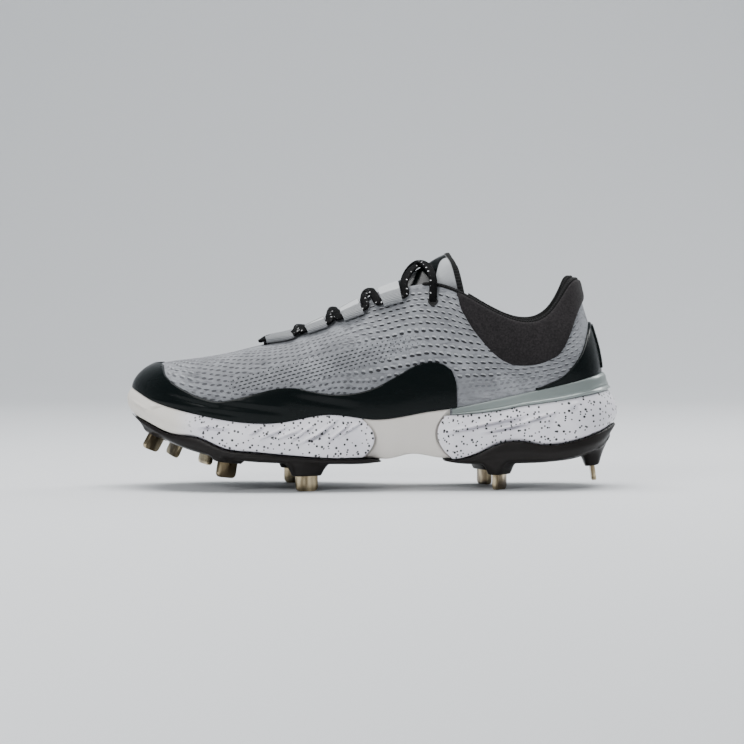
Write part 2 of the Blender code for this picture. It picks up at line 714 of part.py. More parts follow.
def plate_point(c, u):
    """Point c of an outsole plate's section, from its top over the edge to its bottom."""
    levels = len(SIDE_LEVELS)
    edge = side_point(u, levels - 1, "pod")
    out = plan_normal(u)
    if c == 0:
        point = last(u, FEATHER) - out * KEEL_INSET
        point[..., 2] = height("keel", point[..., 0]) - FACET_GAP
        return point
    if c == 1:
        edge[..., 2] -= FACET_GAP
        return edge
    low = height("plate", edge[..., 0])
    high = edge[..., 2] - FACET_GAP
    if c == 2:
        point = edge + out * PLATE_BULGE
        point[..., 2] = (low + high) / 2
        return point
    if c == 3:
        point = edge - out * PLATE_CHAMFER
        point[..., 2] = low + (high - low) * 0.12
        return point
    point = last(u, FEATHER) - out * KEEL_INSET * 0.4
    point[..., 2] = height("plate", point[..., 0]) - GAP
    return point


def plate_cap():
    """Faces that close a plate's end."""
    end = 2 * PLATE_POINTS - 1
    side = [(0, 1, 2, 3, 4)]
    return side + [tuple(end - j for j in reversed(side[0])), (0, 4, end - 4, end)]


def boss(row):
    """The moulded block that carries a spike, from within the plate to its seat."""
    frame = spike_frame(row)
    rings = []
    for wide, thick in (BOSS_ROOT, BOSS_FOOT):
        ring = []
        for x, y in rounded_square(0.35):
            across = x * wide * SPIKE_WIDTH / 2
            through = y * thick * SPIKE_THICKNESS / 2
            ring.append(frame @ Vector((across, through, SPIKE_HEIGHT + GAP)))
        rings.append(ring)
    for point in rings[0]:
        point.z = float(height("plate", point.x) + height("keel", point.x)) / 2
    return skin("boss_" + row[0], rings, "black_plate")


def rounded_square(cut):
    """Eight corners of a square of half side 1, with its corners cut off."""
    c = 1 - cut
    return [(1, c), (c, 1), (-c, 1), (-1, c), (-1, -c), (-c, -1), (c, -1), (1, -c)]


def spike_frame(row):
    """Where a spike stands: its tip on z = 0 of this frame, its blade along X."""
    name, along, side, lift, turn, pitch = row
    spot = Matrix.Translation((float(place(along)), side * BALL_WIDTH, lift * HEIGHT))
    lean = Matrix.Rotation(math.radians(pitch), 4, "Y")
    return spot @ lean @ Matrix.Rotation(math.radians(turn), 4, "Z")


def plate(name, sections, cap, rows):
    """An outsole plate with the bosses of its spikes fused on."""
    made = skin(name, sections, "black_plate", cap=cap, tips=[-1])
    for row in rows:
        tool = boss(row)
        tool.hide_render = True
        tool.display_type = "WIRE"
        join = made.modifiers.new("boss", "BOOLEAN")
        join.operation = "UNION"
        join.solver = "EXACT"
        join.object = tool
    return made


def outsole():
    """The forefoot and heel plates; each tapers to a tip under the arch."""
    start = tip_stations(PLATE_POINTS, 0)
    start[1][:] = station_at(place(0.520), FEATHER, 5.0, 12.0)
    start[-1][:] = ROUND - station_at(place(0.520), FEATHER, 5.0, 12.0)
    end = {1: np.full(PLATE_POINTS, float(TOE)), -1: np.full(PLATE_POINTS, float(TOE))}
    front = both_sides(plate_point, PLATE_POINTS, start, end, 21)
    plate("outsole_forefoot", front, plate_cap(), SPIKES[:6])
    start[1][:] = station_at(place(0.644), FEATHER, 5.0, 9.0)
    start[-1][:] = ROUND - station_at(place(0.644), FEATHER, 5.0, 9.0)
    end = {1: np.zeros(PLATE_POINTS), -1: np.full(PLATE_POINTS, float(ROUND))}
    back = both_sides(plate_point, PLATE_POINTS, start, end, 17)
    plate("outsole_heel", back, plate_cap(), SPIKES[6:])


def spike(row):
    """One metal blade, rounded at its lower corners."""
    frame = spike_frame(row)
    half, thick = SPIKE_WIDTH / 2, SPIKE_THICKNESS / 2
    radius = SPIKE_WIDTH * 0.2
    outline = [(-half, SPIKE_HEIGHT)]
    for centre, first in ((-half + radius, 180), (half - radius, 270)):
        for step in range(4):
            angle = math.radians(first + 30 * step)
            outline.append((centre + radius * math.cos(angle),
                            radius + radius * math.sin(angle)))
    outline.append((half, SPIKE_HEIGHT))
    sections = [[frame @ Vector((x, y, z)) for x, z in outline] for y in (-thick, thick)]
    return skin("spike_" + row[0], sections, "spike_steel",
                cap=[tuple(range(len(outline)))])


def insole():
    """The footbed inside the upper."""
    sections = []
    for t in spaced(0, 1, 23):
        ring = []
        for side in (1, -1):
            u = np.array([t * TOE if side == 1 else ROUND - t * TOE])
            inset = UPPER_WALL + 2 * SKIN_GAP
            edge = last(u, 0.0)[0] - plan_normal(u)[0] * inset
            z = float(height("bed", edge[0]))
            low = (edge[0], edge[1], z)
            high = (edge[0], edge[1], z + INSOLE)
            ring += [low, high] if side == 1 else [high, low]
        sections.append(ring)
    return skin("insole", sections, "charcoal_cloth", tips=[0, -1])


def tongue():
    """The padded tongue, from under the vamp to its top above the collar."""
    rows = []
    for u, v_edge, crest, rise, thick in TONGUE_UNDER:
        depth = -(UPPER_WALL + 2 * SKIN_GAP)
        lateral = [layer(np.array([u]), np.array([v]), np.array([depth]))[0]
                   for v in (0.74, 0.87, v_edge)]
        medial = [layer(np.array([ROUND - u]), np.array([v]), np.array([depth]))[0]
                  for v in (v_edge, 0.87, 0.74)]
        middle = (lateral[2][1] + medial[0][1]) / 2
        top = np.array([float(place(crest)), middle, rise * HEIGHT])
        rows.append((lateral + [top] + medial, thick))
    centre = rows[-1][0][3][1]
    for crest, rise, half, fall, run, thick in TONGUE_FREE:
        arch = []
        for angle in (-75, -50, -25, 0, 25, 50, 75):
            a = math.radians(angle)
            drop = (1 - math.cos(a)) / (1 - math.cos(math.radians(75)))
            arch.append(np.array([
                float(place(crest + run * drop)),
                centre + half * BALL_WIDTH * math.sin(a) / math.sin(math.radians(75)),
                (rise - fall * drop) * HEIGHT,
            ]))
        rows.append((arch, thick))
    return tongue_body(rows)


def tongue_body(rows):
    """The tongue's solid through its rows of top points."""
    top = np.array([points for points, thick in rows])
    thick = np.array([thick for points, thick in rows]) * TONGUE
    along = np.gradient(top, axis=0)
    across = np.gradient(top, axis=1)
    down = np.cross(along, across)
    down /= np.linalg.norm(down, axis=2)[:, :, None]
    down *= np.where(down[:, :, 2:3] > 0, -1, 1)
    profile = np.array([0.35, 0.8, 1, 1, 1, 0.8, 0.35])
    bottom = top + down * thick[:, None, None] * profile[None, :, None]
    sections = np.concatenate([top, bottom[:, ::-1]], axis=1)
    return skin("tongue", sections, "knit_grey", sharp=60)


def throat_way(u):
    """Steps in station and share up the wall that lead square off the throat's edge,
    for each metre, with the metres of edge to a station."""
    du, dv = 0.05, 0.02
    along = (last(u + du, 1.0) - last(u - du, 1.0)) / (2 * du)
    up = (last(u, 1.0) - last(u, 1.0 - dv)) / dv
    over = up - along * (up @ along) / (along @ along)
    over /= np.linalg.norm(over)
    steps = np.linalg.lstsq(np.stack([along, up], axis=1), over, rcond=None)[0]
    return steps, over, np.linalg.norm(along)


def throat_point(u, over, lift):
    """A point near the throat's edge: over it into the throat, or down the wall where
    over is negative, and lifted off the wall."""
    steps, way, pace = throat_way(u)
    down = min(over, 0.0)
    point = layer(u + steps[0] * down, 1.0 + steps[1] * down, lift)
    return point + way * max(over, 0.0)


STRAP_SECTION = (
    # share of LOOP_REACH over the throat's edge, lower face's lift above the wall's
    # clearance as a share of WEBBING
    (-0.3, 0.34), (0.3, 0.30), (1.0, 0.02),
)
EYE_HALF = LACE_WIDTH / 2 + FACET_GAP + WEBBING
EYE_RISE = LACE_THICKNESS / 2 + SKIN_GAP + WEBBING
EYE_LIFT = EYE_RISE + SKIN_GAP


def loop_profile(u):
    """The outline of a lace loop cut across its eye: the eye's outside and inside,
    then the strap from the eye over the throat's edge, as upper and lower points."""
    outer, inner = [], []
    for angle in range(22, 360, 45):
        c, s = math.cos(math.radians(angle)), math.sin(math.radians(angle))
        outer.append(throat_point(u, c * EYE_HALF - LOOP_DROP, EYE_LIFT + s * EYE_RISE))
        inner.append(throat_point(u, c * (EYE_HALF - WEBBING) - LOOP_DROP,
                                  EYE_LIFT + s * (EYE_RISE - WEBBING)))
    strap = []
    for share, lift in STRAP_SECTION:
        low = SKIN_GAP + lift * WEBBING
        strap.append(throat_point(u, share * LOOP_REACH, low + 2 * WEBBING))
        strap.append(throat_point(u, share * LOOP_REACH, low))
    return outer + inner + strap


def lace_loop(name, u):
    """A webbing loop: an eye on the upper that holds the lace, and the strap that
    comes down to it over the throat's edge."""
    half = LOOP_WIDTH / 2 / throat_way(u)[2]
    sides = [loop_profile(u - half), loop_profile(u + half)]
    n, strap = 8, 3
    web = [(j, (j + 1) % n, n + (j + 1) % n, n + j) for j in range(n)]
    high = [0] + [2 * n + 2 * j for j in range(strap)]
    low = [n - 1] + [2 * n + 2 * j + 1 for j in range(strap)]
    web += [(high[j], high[j + 1], low[j + 1], low[j]) for j in range(strap)]
    rim = [(j, j + 1) for j in range(n - 1)]
    rim += [(n + j, n + (j + 1) % n) for j in range(n)]
    rim += [(high[j], high[j + 1]) for j in range(strap)]
    rim += [(low[j], low[j + 1]) for j in range(strap)]
    rim += [(high[strap], low[strap])]
    size = len(sides[0])
    faces = web + [tuple(size + j for j in face) for face in web]
    faces += [(a, b, size + b, size + a) for a, b in rim]
    return solid(name, sides[0] + sides[1], faces, "webbing_grey")


def tube(path, ups, step=0.0055):
    """Sections of a flat lace along a smooth path; ups are its flat side's normals."""
    path, ups = np.array(path), np.array(ups)
    t = np.insert(np.cumsum(np.linalg.norm(np.diff(path, axis=0), axis=1)), 0, 0)
    fine = [np.linspace(a, b, max(1, round((b - a) / step)), endpoint=False)
            for a, b in zip(t, t[1:])]
    fine = np.append(np.concatenate(fine), t[-1])
    curve = np.stack([hermite(t, path[:, k])(fine) for k in range(3)], axis=1)
    up = np.stack([hermite(t, ups[:, k])(fine) for k in range(3)], axis=1)
    along = np.gradient(curve, fine, axis=0)
    along /= np.linalg.norm(along, axis=1)[:, None]
    wide = np.cross(along, up)
    wide /= np.linalg.norm(wide, axis=1)[:, None]
    up = np.cross(wide, along)
    ring = []
    for angle in range(0, 360, 60):
        a = math.radians(angle)
        ring.append(curve + wide * math.cos(a) * LACE_WIDTH / 2
                    + up * math.sin(a) * LACE_THICKNESS / 2)
    return np.stack(ring, axis=1)


def loop_run(u, way):
    """A lace's run from the middle of a loop's eye straight out of it and up to the
    throat's edge, with its flat side's normals; way is 1 towards the heel, -1 the toe."""
    side = -way if u < TOE else way
    reach = LOOP_WIDTH / 2 / throat_way(u)[2]
    back = throat_point(u - side * reach, -LOOP_DROP, EYE_LIFT)
    front = throat_point(u + side * reach, -LOOP_DROP, EYE_LIFT)
    path = [back + (front - back) * t for t in (0.5 + 2 * GAP / LOOP_WIDTH, 1.0, 1.15)]
    path.append(throat_point(u + side * reach * 1.5, 0.0, EYE_LIFT))
    flats = []
    for station in (u, u + side * reach, u + side * reach):
        steps = throat_way(station)[0]
        flats.append(normal(station - steps[0] * LOOP_DROP, 1.0 - steps[1] * LOOP_DROP))
    return path, flats + [normal(u + side * reach, 1.0)]


def over_tongue(points, lift):
    """The middle of these points, raised to lie on the tongue's crest."""
    middle = np.mean(points, axis=0)
    rows = [row[2:4] for row in TONGUE_UNDER] + [row[:2] for row in TONGUE_FREE]
    crest = np.interp(share_of(middle[0]), *zip(*rows)) * HEIGHT
    middle[2] = crest + LACE_THICKNESS / 2 + 2 * SKIN_GAP + lift
    return middle


def fused(name, first, second):
    """Two solids made one; the second stays as a hidden guide."""
    second.hide_render = True
    second.display_type = "WIRE"
    join = first.modifiers.new("crossing", "BOOLEAN")
    join.operation = "UNION"
    join.solver = "EXACT"
    join.object = second
    first.name = name
    return first


UP = np.array([0, 0, 1.0])
UNDER_OVER = (0.0, LACE_THICKNESS * 0.5)  # lift of the lower and the upper run


def lace_crossing(number, front, back):
    """The two runs of lace that cross over the tongue between two pairs of loops."""
    runs = []
    for flip, lift in zip((False, True), UNDER_OVER):
        a, a_up = loop_run(ROUND - front if flip else front, 1)
        b, b_up = loop_run(back if flip else ROUND - back, -1)
        mouths = [loop_run(u, way)[0][-1] for u, way in
                  ((front, 1), (ROUND - front, 1), (back, -1), (ROUND - back, -1))]
        path = a + [over_tongue(mouths, lift)] + b[::-1]
        runs.append(skin("lace_run", tube(path, a_up + [UP] + b_up[::-1]), "black_lace"))
    return fused("lace_crossing_%d" % number, runs[0], runs[1])


def lace_bar(u):
    """The lace's first bar, across the foot of the throat."""
    a, a_up = loop_run(u, -1)
    b, b_up = loop_run(ROUND - u, -1)
    middle = over_tongue([a[-1], b[-1]], 0.0)
    return skin("lace_bar", tube(a + [middle] + b[::-1], a_up + [UP] + b_up[::-1]),
                "black_lace")


def lace_top(number, u):
    """The last crossing, whose ends stop over the top eyelets."""
    station, share = EYELET
    runs = []
    for flip, lift in zip((False, True), UNDER_OVER):
        a, a_up = loop_run(ROUND - u if flip else u, 1)
        b = station if flip else ROUND - station
        v = np.array([share, (share + 1) / 2, 1.0])
        stand = LACE_THICKNESS * np.array([0.5, 0.8, 1.0]) + 2 * SKIN_GAP
        hole = list(layer(np.full(3, b), v, stand))
        out = [normal(np.array([b]), np.array([share]))[0]] * 3
        ends = [loop_run(side, 1)[0][-1] for side in (u, ROUND - u)]
        ends += [last(side, 1.0) for side in (station, ROUND - station)]
        path = a + [over_tongue(ends, lift)] + hole[::-1]
        runs.append(skin("lace_run", tube(path, a_up + [UP] + out), "black_lace"))
    return fused("lace_crossing_%d" % number, runs[0], runs[1])


def laces():
    """All that the lace shows above the tongue, and the loops that hold it."""
    for number, u in enumerate(LOOP_STATIONS, start=1):
        lace_loop("loop_lateral_%d" % number, u)
        lace_loop("loop_medial_%d" % number, ROUND - u)
    lace_bar(LOOP_STATIONS[0])
    pairs = zip(LOOP_STATIONS, LOOP_STATIONS[1:])
    for number, (front, back) in enumerate(pairs, start=1):
        lace_crossing(number, front, back)
    lace_top(len(LOOP_STATIONS), LOOP_STATIONS[-1])


def build():
    """Every piece of the shoe."""
    for old in list(bpy.data.objects):
        bpy.data.objects.remove(old, do_unlink=True)
    upper()
    mudguard()
    heel_counter()
    heel_stay()
    collar_pad()
    collar_lining()
    tongue()
    insole()
    midsole_forefoot()
    midsole_arch()
    midsole_heel()
    heel_band()
    outsole()
    for row in SPIKES:
        spike(row)
    laces()


build()
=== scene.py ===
"""The looks of a low-cut baseball cleat: every surface is rebuilt finely over its CAD node.

The toe points to -X, the outer (lateral) side faces -Y, and the floor is z = 0, in metres.
The last's surface and the sole's lines are the ones that the solids were made from. Places
along the shoe and heights are shares of LENGTH and HEIGHT unless a name says otherwise.
"""

import math

import bmesh
import bpy
import numpy as np
from mathutils import Matrix, Vector


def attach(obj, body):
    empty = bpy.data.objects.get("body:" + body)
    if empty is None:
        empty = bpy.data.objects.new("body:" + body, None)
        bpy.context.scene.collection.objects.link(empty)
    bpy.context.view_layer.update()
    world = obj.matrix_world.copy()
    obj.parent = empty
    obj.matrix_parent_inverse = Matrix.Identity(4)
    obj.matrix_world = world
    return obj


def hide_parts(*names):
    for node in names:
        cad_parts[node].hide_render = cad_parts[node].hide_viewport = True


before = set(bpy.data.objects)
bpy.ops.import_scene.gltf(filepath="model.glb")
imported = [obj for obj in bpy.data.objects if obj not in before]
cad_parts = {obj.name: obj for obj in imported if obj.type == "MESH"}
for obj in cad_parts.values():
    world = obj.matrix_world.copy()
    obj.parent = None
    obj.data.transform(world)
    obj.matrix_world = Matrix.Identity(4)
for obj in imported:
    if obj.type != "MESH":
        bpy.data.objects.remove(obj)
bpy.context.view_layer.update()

# The part's own sizes
LENGTH = 0.298
HEIGHT = 0.143
BALL_WIDTH = 0.0945
UPPER_WALL = 0.0024
OVERLAY = 0.0010
PAD = 0.0018
LINING = 0.0032
TONGUE = 0.0042
INSOLE = 0.0035
SOLE_BULGE = 0.0060
LASTING_INSET = 0.003
KEEL_INSET = 0.010
SPIKE_WIDTH = 0.0142
SPIKE_THICKNESS = 0.0027
SPIKE_HEIGHT = 0.0088
LOOP_WIDTH = 0.0125
LOOP_DROP = 0.0068
LOOP_REACH = 0.0045
WEBBING = 0.0008
LACE_WIDTH = 0.0048
LACE_THICKNESS = 0.0022
STAY_WIDTH = 0.0120
GAP = 0.0003
SKIN_GAP = 0.0005
FACET_GAP = 0.0008

# The last, a row for each station from the middle of the heel (0) to the toe tip (15)
LAST = (
    # low, top, lat, med, top_lat, top_med, rise, in1, up1, in2, up2
    (0.964, 0.917, 0.026, 0.026, 0.026, 0.026, 0.879, 0.20, 0.30, 0.64, 0.65),
    (0.959, 0.912, -0.074, 0.127, -0.053, 0.106, 0.879, 0.20, 0.30, 0.62, 0.65),
    (0.940, 0.895, -0.212, 0.265, -0.148, 0.201, 0.852, 0.16, 0.30, 0.55, 0.65),
    (0.893, 0.858, -0.312, 0.360, -0.238, 0.286, 0.739, 0.00, 0.33, 0.40, 0.68),
    (0.822, 0.803, -0.339, 0.381, -0.280, 0.317, 0.703, 0.02, 0.33, 0.42, 0.68),
    (0.750, 0.738, -0.333, 0.360, -0.275, 0.302, 0.754, 0.02, 0.33, 0.38, 0.69),
    (0.669, 0.673, -0.339, 0.323, -0.249, 0.259, 0.828, 0.03, 0.32, 0.36, 0.68),
    (0.597, 0.608, -0.360, 0.312, -0.196, 0.206, 0.860, 0.03, 0.31, 0.34, 0.68),
    (0.506, 0.526, -0.407, 0.344, -0.164, 0.185, 0.820, 0.02, 0.30, 0.32, 0.68),
    (0.414, 0.444, -0.460, 0.418, -0.148, 0.175, 0.739, 0.00, 0.30, 0.32, 0.69),
    (0.322, 0.377, -0.497, 0.481, -0.138, 0.172, 0.675, -0.01, 0.30, 0.33, 0.72),
    (0.230, 0.330, -0.492, 0.492, -0.127, 0.166, 0.637, 0.00, 0.32, 0.36, 0.75),
    (0.149, 0.300, -0.429, 0.450, -0.112, 0.150, 0.614, 0.02, 0.36, 0.38, 0.78),
    (0.077, 0.283, -0.302, 0.360, -0.068, 0.112, 0.603, 0.04, 0.38, 0.42, 0.76),
    (0.033, 0.276, -0.116, 0.238, -0.020, 0.072, 0.599, 0.06, 0.36, 0.43, 0.72),
    (0.015, 0.274, 0.074, 0.074, 0.032, 0.032, 0.599, 0.07, 0.36, 0.43, 0.68),
)
TOE = len(LAST) - 1
ROUND = 2 * TOE

SOLE = (
    # place, feather, bed, bottom (of the midsole's side), keel (its middle), plate
    (0.000, 0.431, 0.412, 0.340, 0.336, 0.331),
    (0.014, 0.423, 0.387, 0.319, 0.314, 0.304),
    (0.047, 0.387, 0.323, 0.287, 0.278, 0.249),
    (0.092, 0.350, 0.268, 0.247, 0.234, 0.204),
    (0.149, 0.323, 0.232, 0.234, 0.195, 0.164),
    (0.210, 0.299, 0.208, 0.183, 0.168, 0.138),
    (0.271, 0.285, 0.195, 0.170, 0.153, 0.125),
    (0.353, 0.299, 0.191, 0.153, 0.144, 0.119),
    (0.424, 0.322, 0.198, 0.142, 0.139, 0.115),
    (0.495, 0.300, 0.208, 0.142, 0.137, 0.117),
    (0.526, 0.302, 0.212, 0.134, 0.134, 0.125),
    (0.581, 0.319, 0.223, 0.154, 0.154, 0.140),
    (0.638, 0.341, 0.232, 0.137, 0.137, 0.127),
    (0.669, 0.346, 0.234, 0.134, 0.133, 0.115),
    (0.709, 0.363, 0.237, 0.158, 0.143, 0.110),
    (0.750, 0.381, 0.238, 0.202, 0.149, 0.110),
    (0.785, 0.398, 0.238, 0.217, 0.151, 0.113),
    (0.852, 0.429, 0.239, 0.200, 0.152, 0.119),
    (0.934, 0.470, 0.242, 0.232, 0.170, 0.147),
    (0.975, 0.498, 0.246, 0.263, 0.204, 0.185),
    (1.000, 0.514, 0.249, 0.289, 0.270, 0.263),
)

SIDE_LEVELS = (0.0, 0.15, 0.40, 0.65, 0.85, 1.0)
POD_SIDE = (
    # station, then how far the side stands out at each level, as shares of SOLE_BULGE
    (0, 1.00, 1.25, 1.62, 1.77, 1.72, 1.57),
    (3, 0.47, 0.70, 0.93, 1.00, 0.90, 0.73),
    (6, 0.33, 0.50, 0.67, 0.70, 0.60, 0.40),
    (9, 0.33, 0.53, 0.70, 0.77, 0.67, 0.50),
    (11, 0.30, 0.53, 0.77, 0.87, 0.80, 0.63),
    (13, 0.30, 0.50, 0.70, 0.77, 0.70, 0.57),
    (15, 0.30, 0.53, 0.73, 0.75, 0.67, 0.47),
)
ARCH_SIDE = (0.27, 0.33, 0.30, 0.12, -0.15, -0.45)

# Borders of the overlays as seen from the side: place and height shares
MUDGUARD_BORDER = (
    (0.078, 0.520), (0.0835, 0.487), (0.091, 0.468), (0.101, 0.451), (0.128, 0.419),
    (0.159, 0.393),
    (0.190, 0.378), (0.230, 0.389), (0.271, 0.412), (0.312, 0.431), (0.347, 0.433),
    (0.383, 0.418), (0.424, 0.406), (0.465, 0.410), (0.506, 0.433), (0.546, 0.476),
    (0.587, 0.523), (0.624, 0.538), (0.650, 0.520), (0.663, 0.489), (0.670, 0.433),
    (0.673, 0.370),
)
COUNTER_BORDER = (
    (0.815, 0.414), (0.852, 0.446), (0.887, 0.484), (0.911, 0.540), (0.926, 0.595),
    (0.936, 0.663), (0.940, 0.701), (0.964, 0.701),
)
PAD_BORDER = (
    (0.670, 0.845), (0.677, 0.775), (0.689, 0.722), (0.720, 0.629), (0.740, 0.582), (0.771, 0.535),
    (0.811, 0.523), (0.852, 0.542), (0.883, 0.588), (0.901, 0.663), (0.915, 0.743),
    (0.930, 0.794), (0.964, 0.794),
)
BAND_EDGE = (
    (0.648, 0.314), (0.720, 0.325), (0.760, 0.336), (0.801, 0.353), (0.842, 0.365),
    (0.883, 0.378), (0.924, 0.395), (0.964, 0.412), (0.989, 0.421),
)
FRONT_SEAM = (0.482, 0.507, 0.140, 0.302)
REAR_SEAM = (0.660, 0.630, 0.134, 0.345)

TONGUE_UNDER = (
    # station, share up the wall at the edge, crest place, crest height, thickness
    (13.2, 0.93, 0.226, 0.550, 0.7),
    (12.4, 0.98, 0.275, 0.566, 0.8),
    (11.6, 1.00, 0.312, 0.612, 0.9),
    (10.8, 1.00, 0.345, 0.650, 1.0),
    (10.0, 1.00, 0.381, 0.690, 1.0),
    (9.0, 1.00, 0.449, 0.760, 1.0),
    (8.2, 1.00, 0.510, 0.827, 1.1),
    (7.5, 1.00, 0.560, 0.884, 1.3),
    (6.9, 1.00, 0.604, 0.939, 1.6),
)
TONGUE_FREE = (
    # crest place, crest height, half width (of BALL_WIDTH), fall, run back, thickness
    (0.634, 0.976, 0.200, 0.122, 0.026, 1.9),
    (0.657, 0.997, 0.218, 0.128, 0.031, 1.8),
)

LOOP_STATIONS = (11.55, 9.85, 8.82, 7.87)
EYELET = (6.75, 0.88)

SPIKES = (
    # name, place, side, lift, turn, pitch
    ("toe_lateral", 0.049, -0.150, 0.165, 56, 28),
    ("toe_medial", 0.087, 0.200, 0.126, -60, 24),
    ("front_medial", 0.152, 0.390, 0.082, -58, 12),
    ("front_lateral", 0.206, -0.390, 0.057, 44, 9),
    ("ball_medial", 0.340, 0.400, 0.0, -25, 0),
    ("ball_lateral", 0.369, -0.400, 0.0, 30, 0),
    ("heel_medial", 0.732, 0.270, 0.0, -62, 0),
    ("heel_lateral", 0.757, -0.240, 0.0, 60, 0),
    ("heel_back", 0.953, 0.026, 0.030, 90, -8),
)
# A boss at its spike, and where it fades into the plate: width and thickness as shares
# of the spike's
BOSS_FOOT = (1.25, 3.2)
BOSS_SKIRT = (3.4, 11.0)


# The last's surface

def cubic(f, a, b, slope_a, slope_b):
    """The cubic from a to b, at f from 0 to 1, with these slopes at its ends."""
    return (a * (1 + 2 * f) * (1 - f) ** 2 + slope_a * f * (1 - f) ** 2
            + b * f**2 * (3 - 2 * f) - slope_b * f**2 * (1 - f))


def hermite(places, values):
    """A smooth line through values at places, as a function; flat beyond its ends."""
    places = np.asarray(places, float)
    values = np.asarray(values, float)
    slopes = np.gradient(values, places)

    def at(x):
        x = np.clip(np.asarray(x, float), places[0], places[-1])
        i = np.clip(np.searchsorted(places, x, side="right") - 1, 0, len(places) - 2)
        step = places[i + 1] - places[i]
        f = (x - places[i]) / step
        return cubic(f, values[i], values[i + 1], slopes[i] * step, slopes[i + 1] * step)

    return at


def table_line(table, column=1):
    """The smooth line through a table's first column and another one."""
    return hermite([row[0] for row in table], [row[column] for row in table])


def run_along(points):
    """Metres along the first axis of points, from its start."""
    spans = np.linalg.norm(np.diff(points, axis=0), axis=-1)
    return np.insert(np.cumsum(spans, axis=0), 0, 0, axis=0)


def closed_spline(values):
    """The cubic spline through values at 0, 1, 2 and so on that closes on itself."""
    values = np.asarray(values, float)
    count = len(values)
    system = 4 * np.eye(count)
    system += np.roll(np.eye(count), 1, axis=1) + np.roll(np.eye(count), -1, axis=1)
    turn = np.roll(values, -1, axis=0) - 2 * values + np.roll(values, 1, axis=0)
    bend = np.linalg.solve(system, 6 * turn)

    def at(u):
        whole = np.floor(u)
        i = whole.astype(int) % count
        j = (i + 1) % count
        f = (u - whole)[:, None]
        straight = (1 - f) * values[i] + f * values[j]
        return straight - f * (1 - f) * ((2 - f) * bend[i] + (1 + f) * bend[j]) / 6

    return at


UP = np.array([0, 0, 1.0])


def place(share):
    """X of a share of the shoe's length."""
    return (np.asarray(share, float) - 0.5) * LENGTH


def share_of(x):
    """The share of the shoe's length at X."""
    return np.asarray(x, float) / LENGTH + 0.5


SOLE_LINES = {
    name: table_line(SOLE, i)
    for i, name in enumerate(("feather", "bed", "bottom", "keel", "plate"), start=1)
}


def height(line, x):
    """Height of one of the sole's lines at X."""
    return SOLE_LINES[line](share_of(x)) * HEIGHT


def outward(points):
    """Plan normals, pointing out, of a closed loop of points."""
    along = np.roll(points, -1, axis=0) - np.roll(points, 1, axis=0)
    out = np.stack([-along[:, 1], along[:, 0]], axis=1)
    return out / np.linalg.norm(out, axis=1)[:, None]


def last_levels():
    """The last's control loops, from the foot bed up to the opening's edge."""
    stations = [(row, 2, 4) for row in LAST]
    stations += [(row, 3, 5) for row in LAST[-2:0:-1]]
    rows = [row for row, low_side, top_side in stations]
    feather = np.zeros((ROUND, 3))
    edge = np.zeros((ROUND, 3))
    feather[:, 0] = [place(row[0]) for row in rows]
    feather[:, 1] = [row[low_side] * BALL_WIDTH for row, low_side, top_side in stations]
    feather[:, 2] = height("feather", feather[:, 0])
    edge[:, 0] = [place(row[1]) for row in rows]
    edge[:, 1] = [row[top_side] * BALL_WIDTH for row, low_side, top_side in stations]
    edge[:, 2] = [row[6] * HEIGHT for row in rows]
    bed = feather.copy()
    bed[:, :2] -= outward(feather[:, :2]) * LASTING_INSET
    bed[:, 2] = height("bed", bed[:, 0])
    levels = [bed, feather]
    for way_in, way_up in ((7, 8), (9, 10)):
        share = np.array([(row[way_in], row[way_in], row[way_up]) for row in rows])
        levels.append(feather + (edge - feather) * share)
    return levels + [edge]


LEVEL_SHARES = (0.0, 0.25, 0.45, 0.70, 1.0)
FEATHER = LEVEL_SHARES[1]
LEVELS = [closed_spline(loop) for loop in last_levels()]


def last(u, v):
    """Points of the last at stations u and shares v of the way up its columns."""
    u, v = np.broadcast_arrays(np.asarray(u, float), np.asarray(v, float))
    shape = u.shape
    u, v = u.ravel(), v.ravel()
    control = np.stack([level(u) for level in LEVELS], axis=1)
    span = np.linalg.norm(np.diff(control, axis=1), axis=2)
    slope = np.diff(control, axis=1) / span[:, :, None]
    system = np.zeros((len(u), 5, 5))
    right = np.zeros((len(u), 5, 3))
    system[:, 0, 0] = system[:, 4, 4] = 1
    for i in range(1, 4):
        system[:, i, i - 1] = span[:, i - 1]
        system[:, i, i] = 2 * (span[:, i - 1] + span[:, i])
        system[:, i, i + 1] = span[:, i]
        right[:, i] = 6 * (slope[:, i] - slope[:, i - 1])
    bend = np.linalg.solve(system, right)
    i = np.clip(np.searchsorted(LEVEL_SHARES, v, side="right") - 1, 0, 3)
    low = np.take(LEVEL_SHARES, i)
    f = ((v - low) / (np.take(LEVEL_SHARES, i + 1) - low))[:, None]
    n = np.arange(len(u))
    step = span[n, i][:, None]
    points = (1 - f) * control[n, i] + f * control[n, i + 1]
    points -= f * (1 - f) * step**2 * ((2 - f) * bend[n, i] + (1 + f) * bend[n, i + 1]) / 6
    return points.reshape(shape + (3,))


def normal(u, v):
    """The last's normals, pointing out."""
    du, dv = 0.02, 0.01
    low, high = np.clip(np.asarray(v) - dv, 0, 1), np.clip(np.asarray(v) + dv, 0, 1)
    along = last(np.asarray(u) + du, v) - last(np.asarray(u) - du, v)
    up = last(u, high) - last(u, low)
    out = np.cross(up, along)
    return out / np.linalg.norm(out, axis=-1)[..., None]


def layer(u, v, offset):
    """The last's surface moved out by offset; a negative one lies inside the shoe."""
    offset = np.asarray(offset, float)
    return last(u, v) + normal(u, v) * offset[..., None]


def solve(function, low, high):
    """The place between low and high where a rising function passes zero."""
    low, high = np.array(low, float), np.array(high, float)
    for _ in range(26):
        middle = (low + high) / 2
        under = function(middle) < 0
        low = np.where(under, middle, low)
        high = np.where(under, high, middle)
    return (low + high) / 2


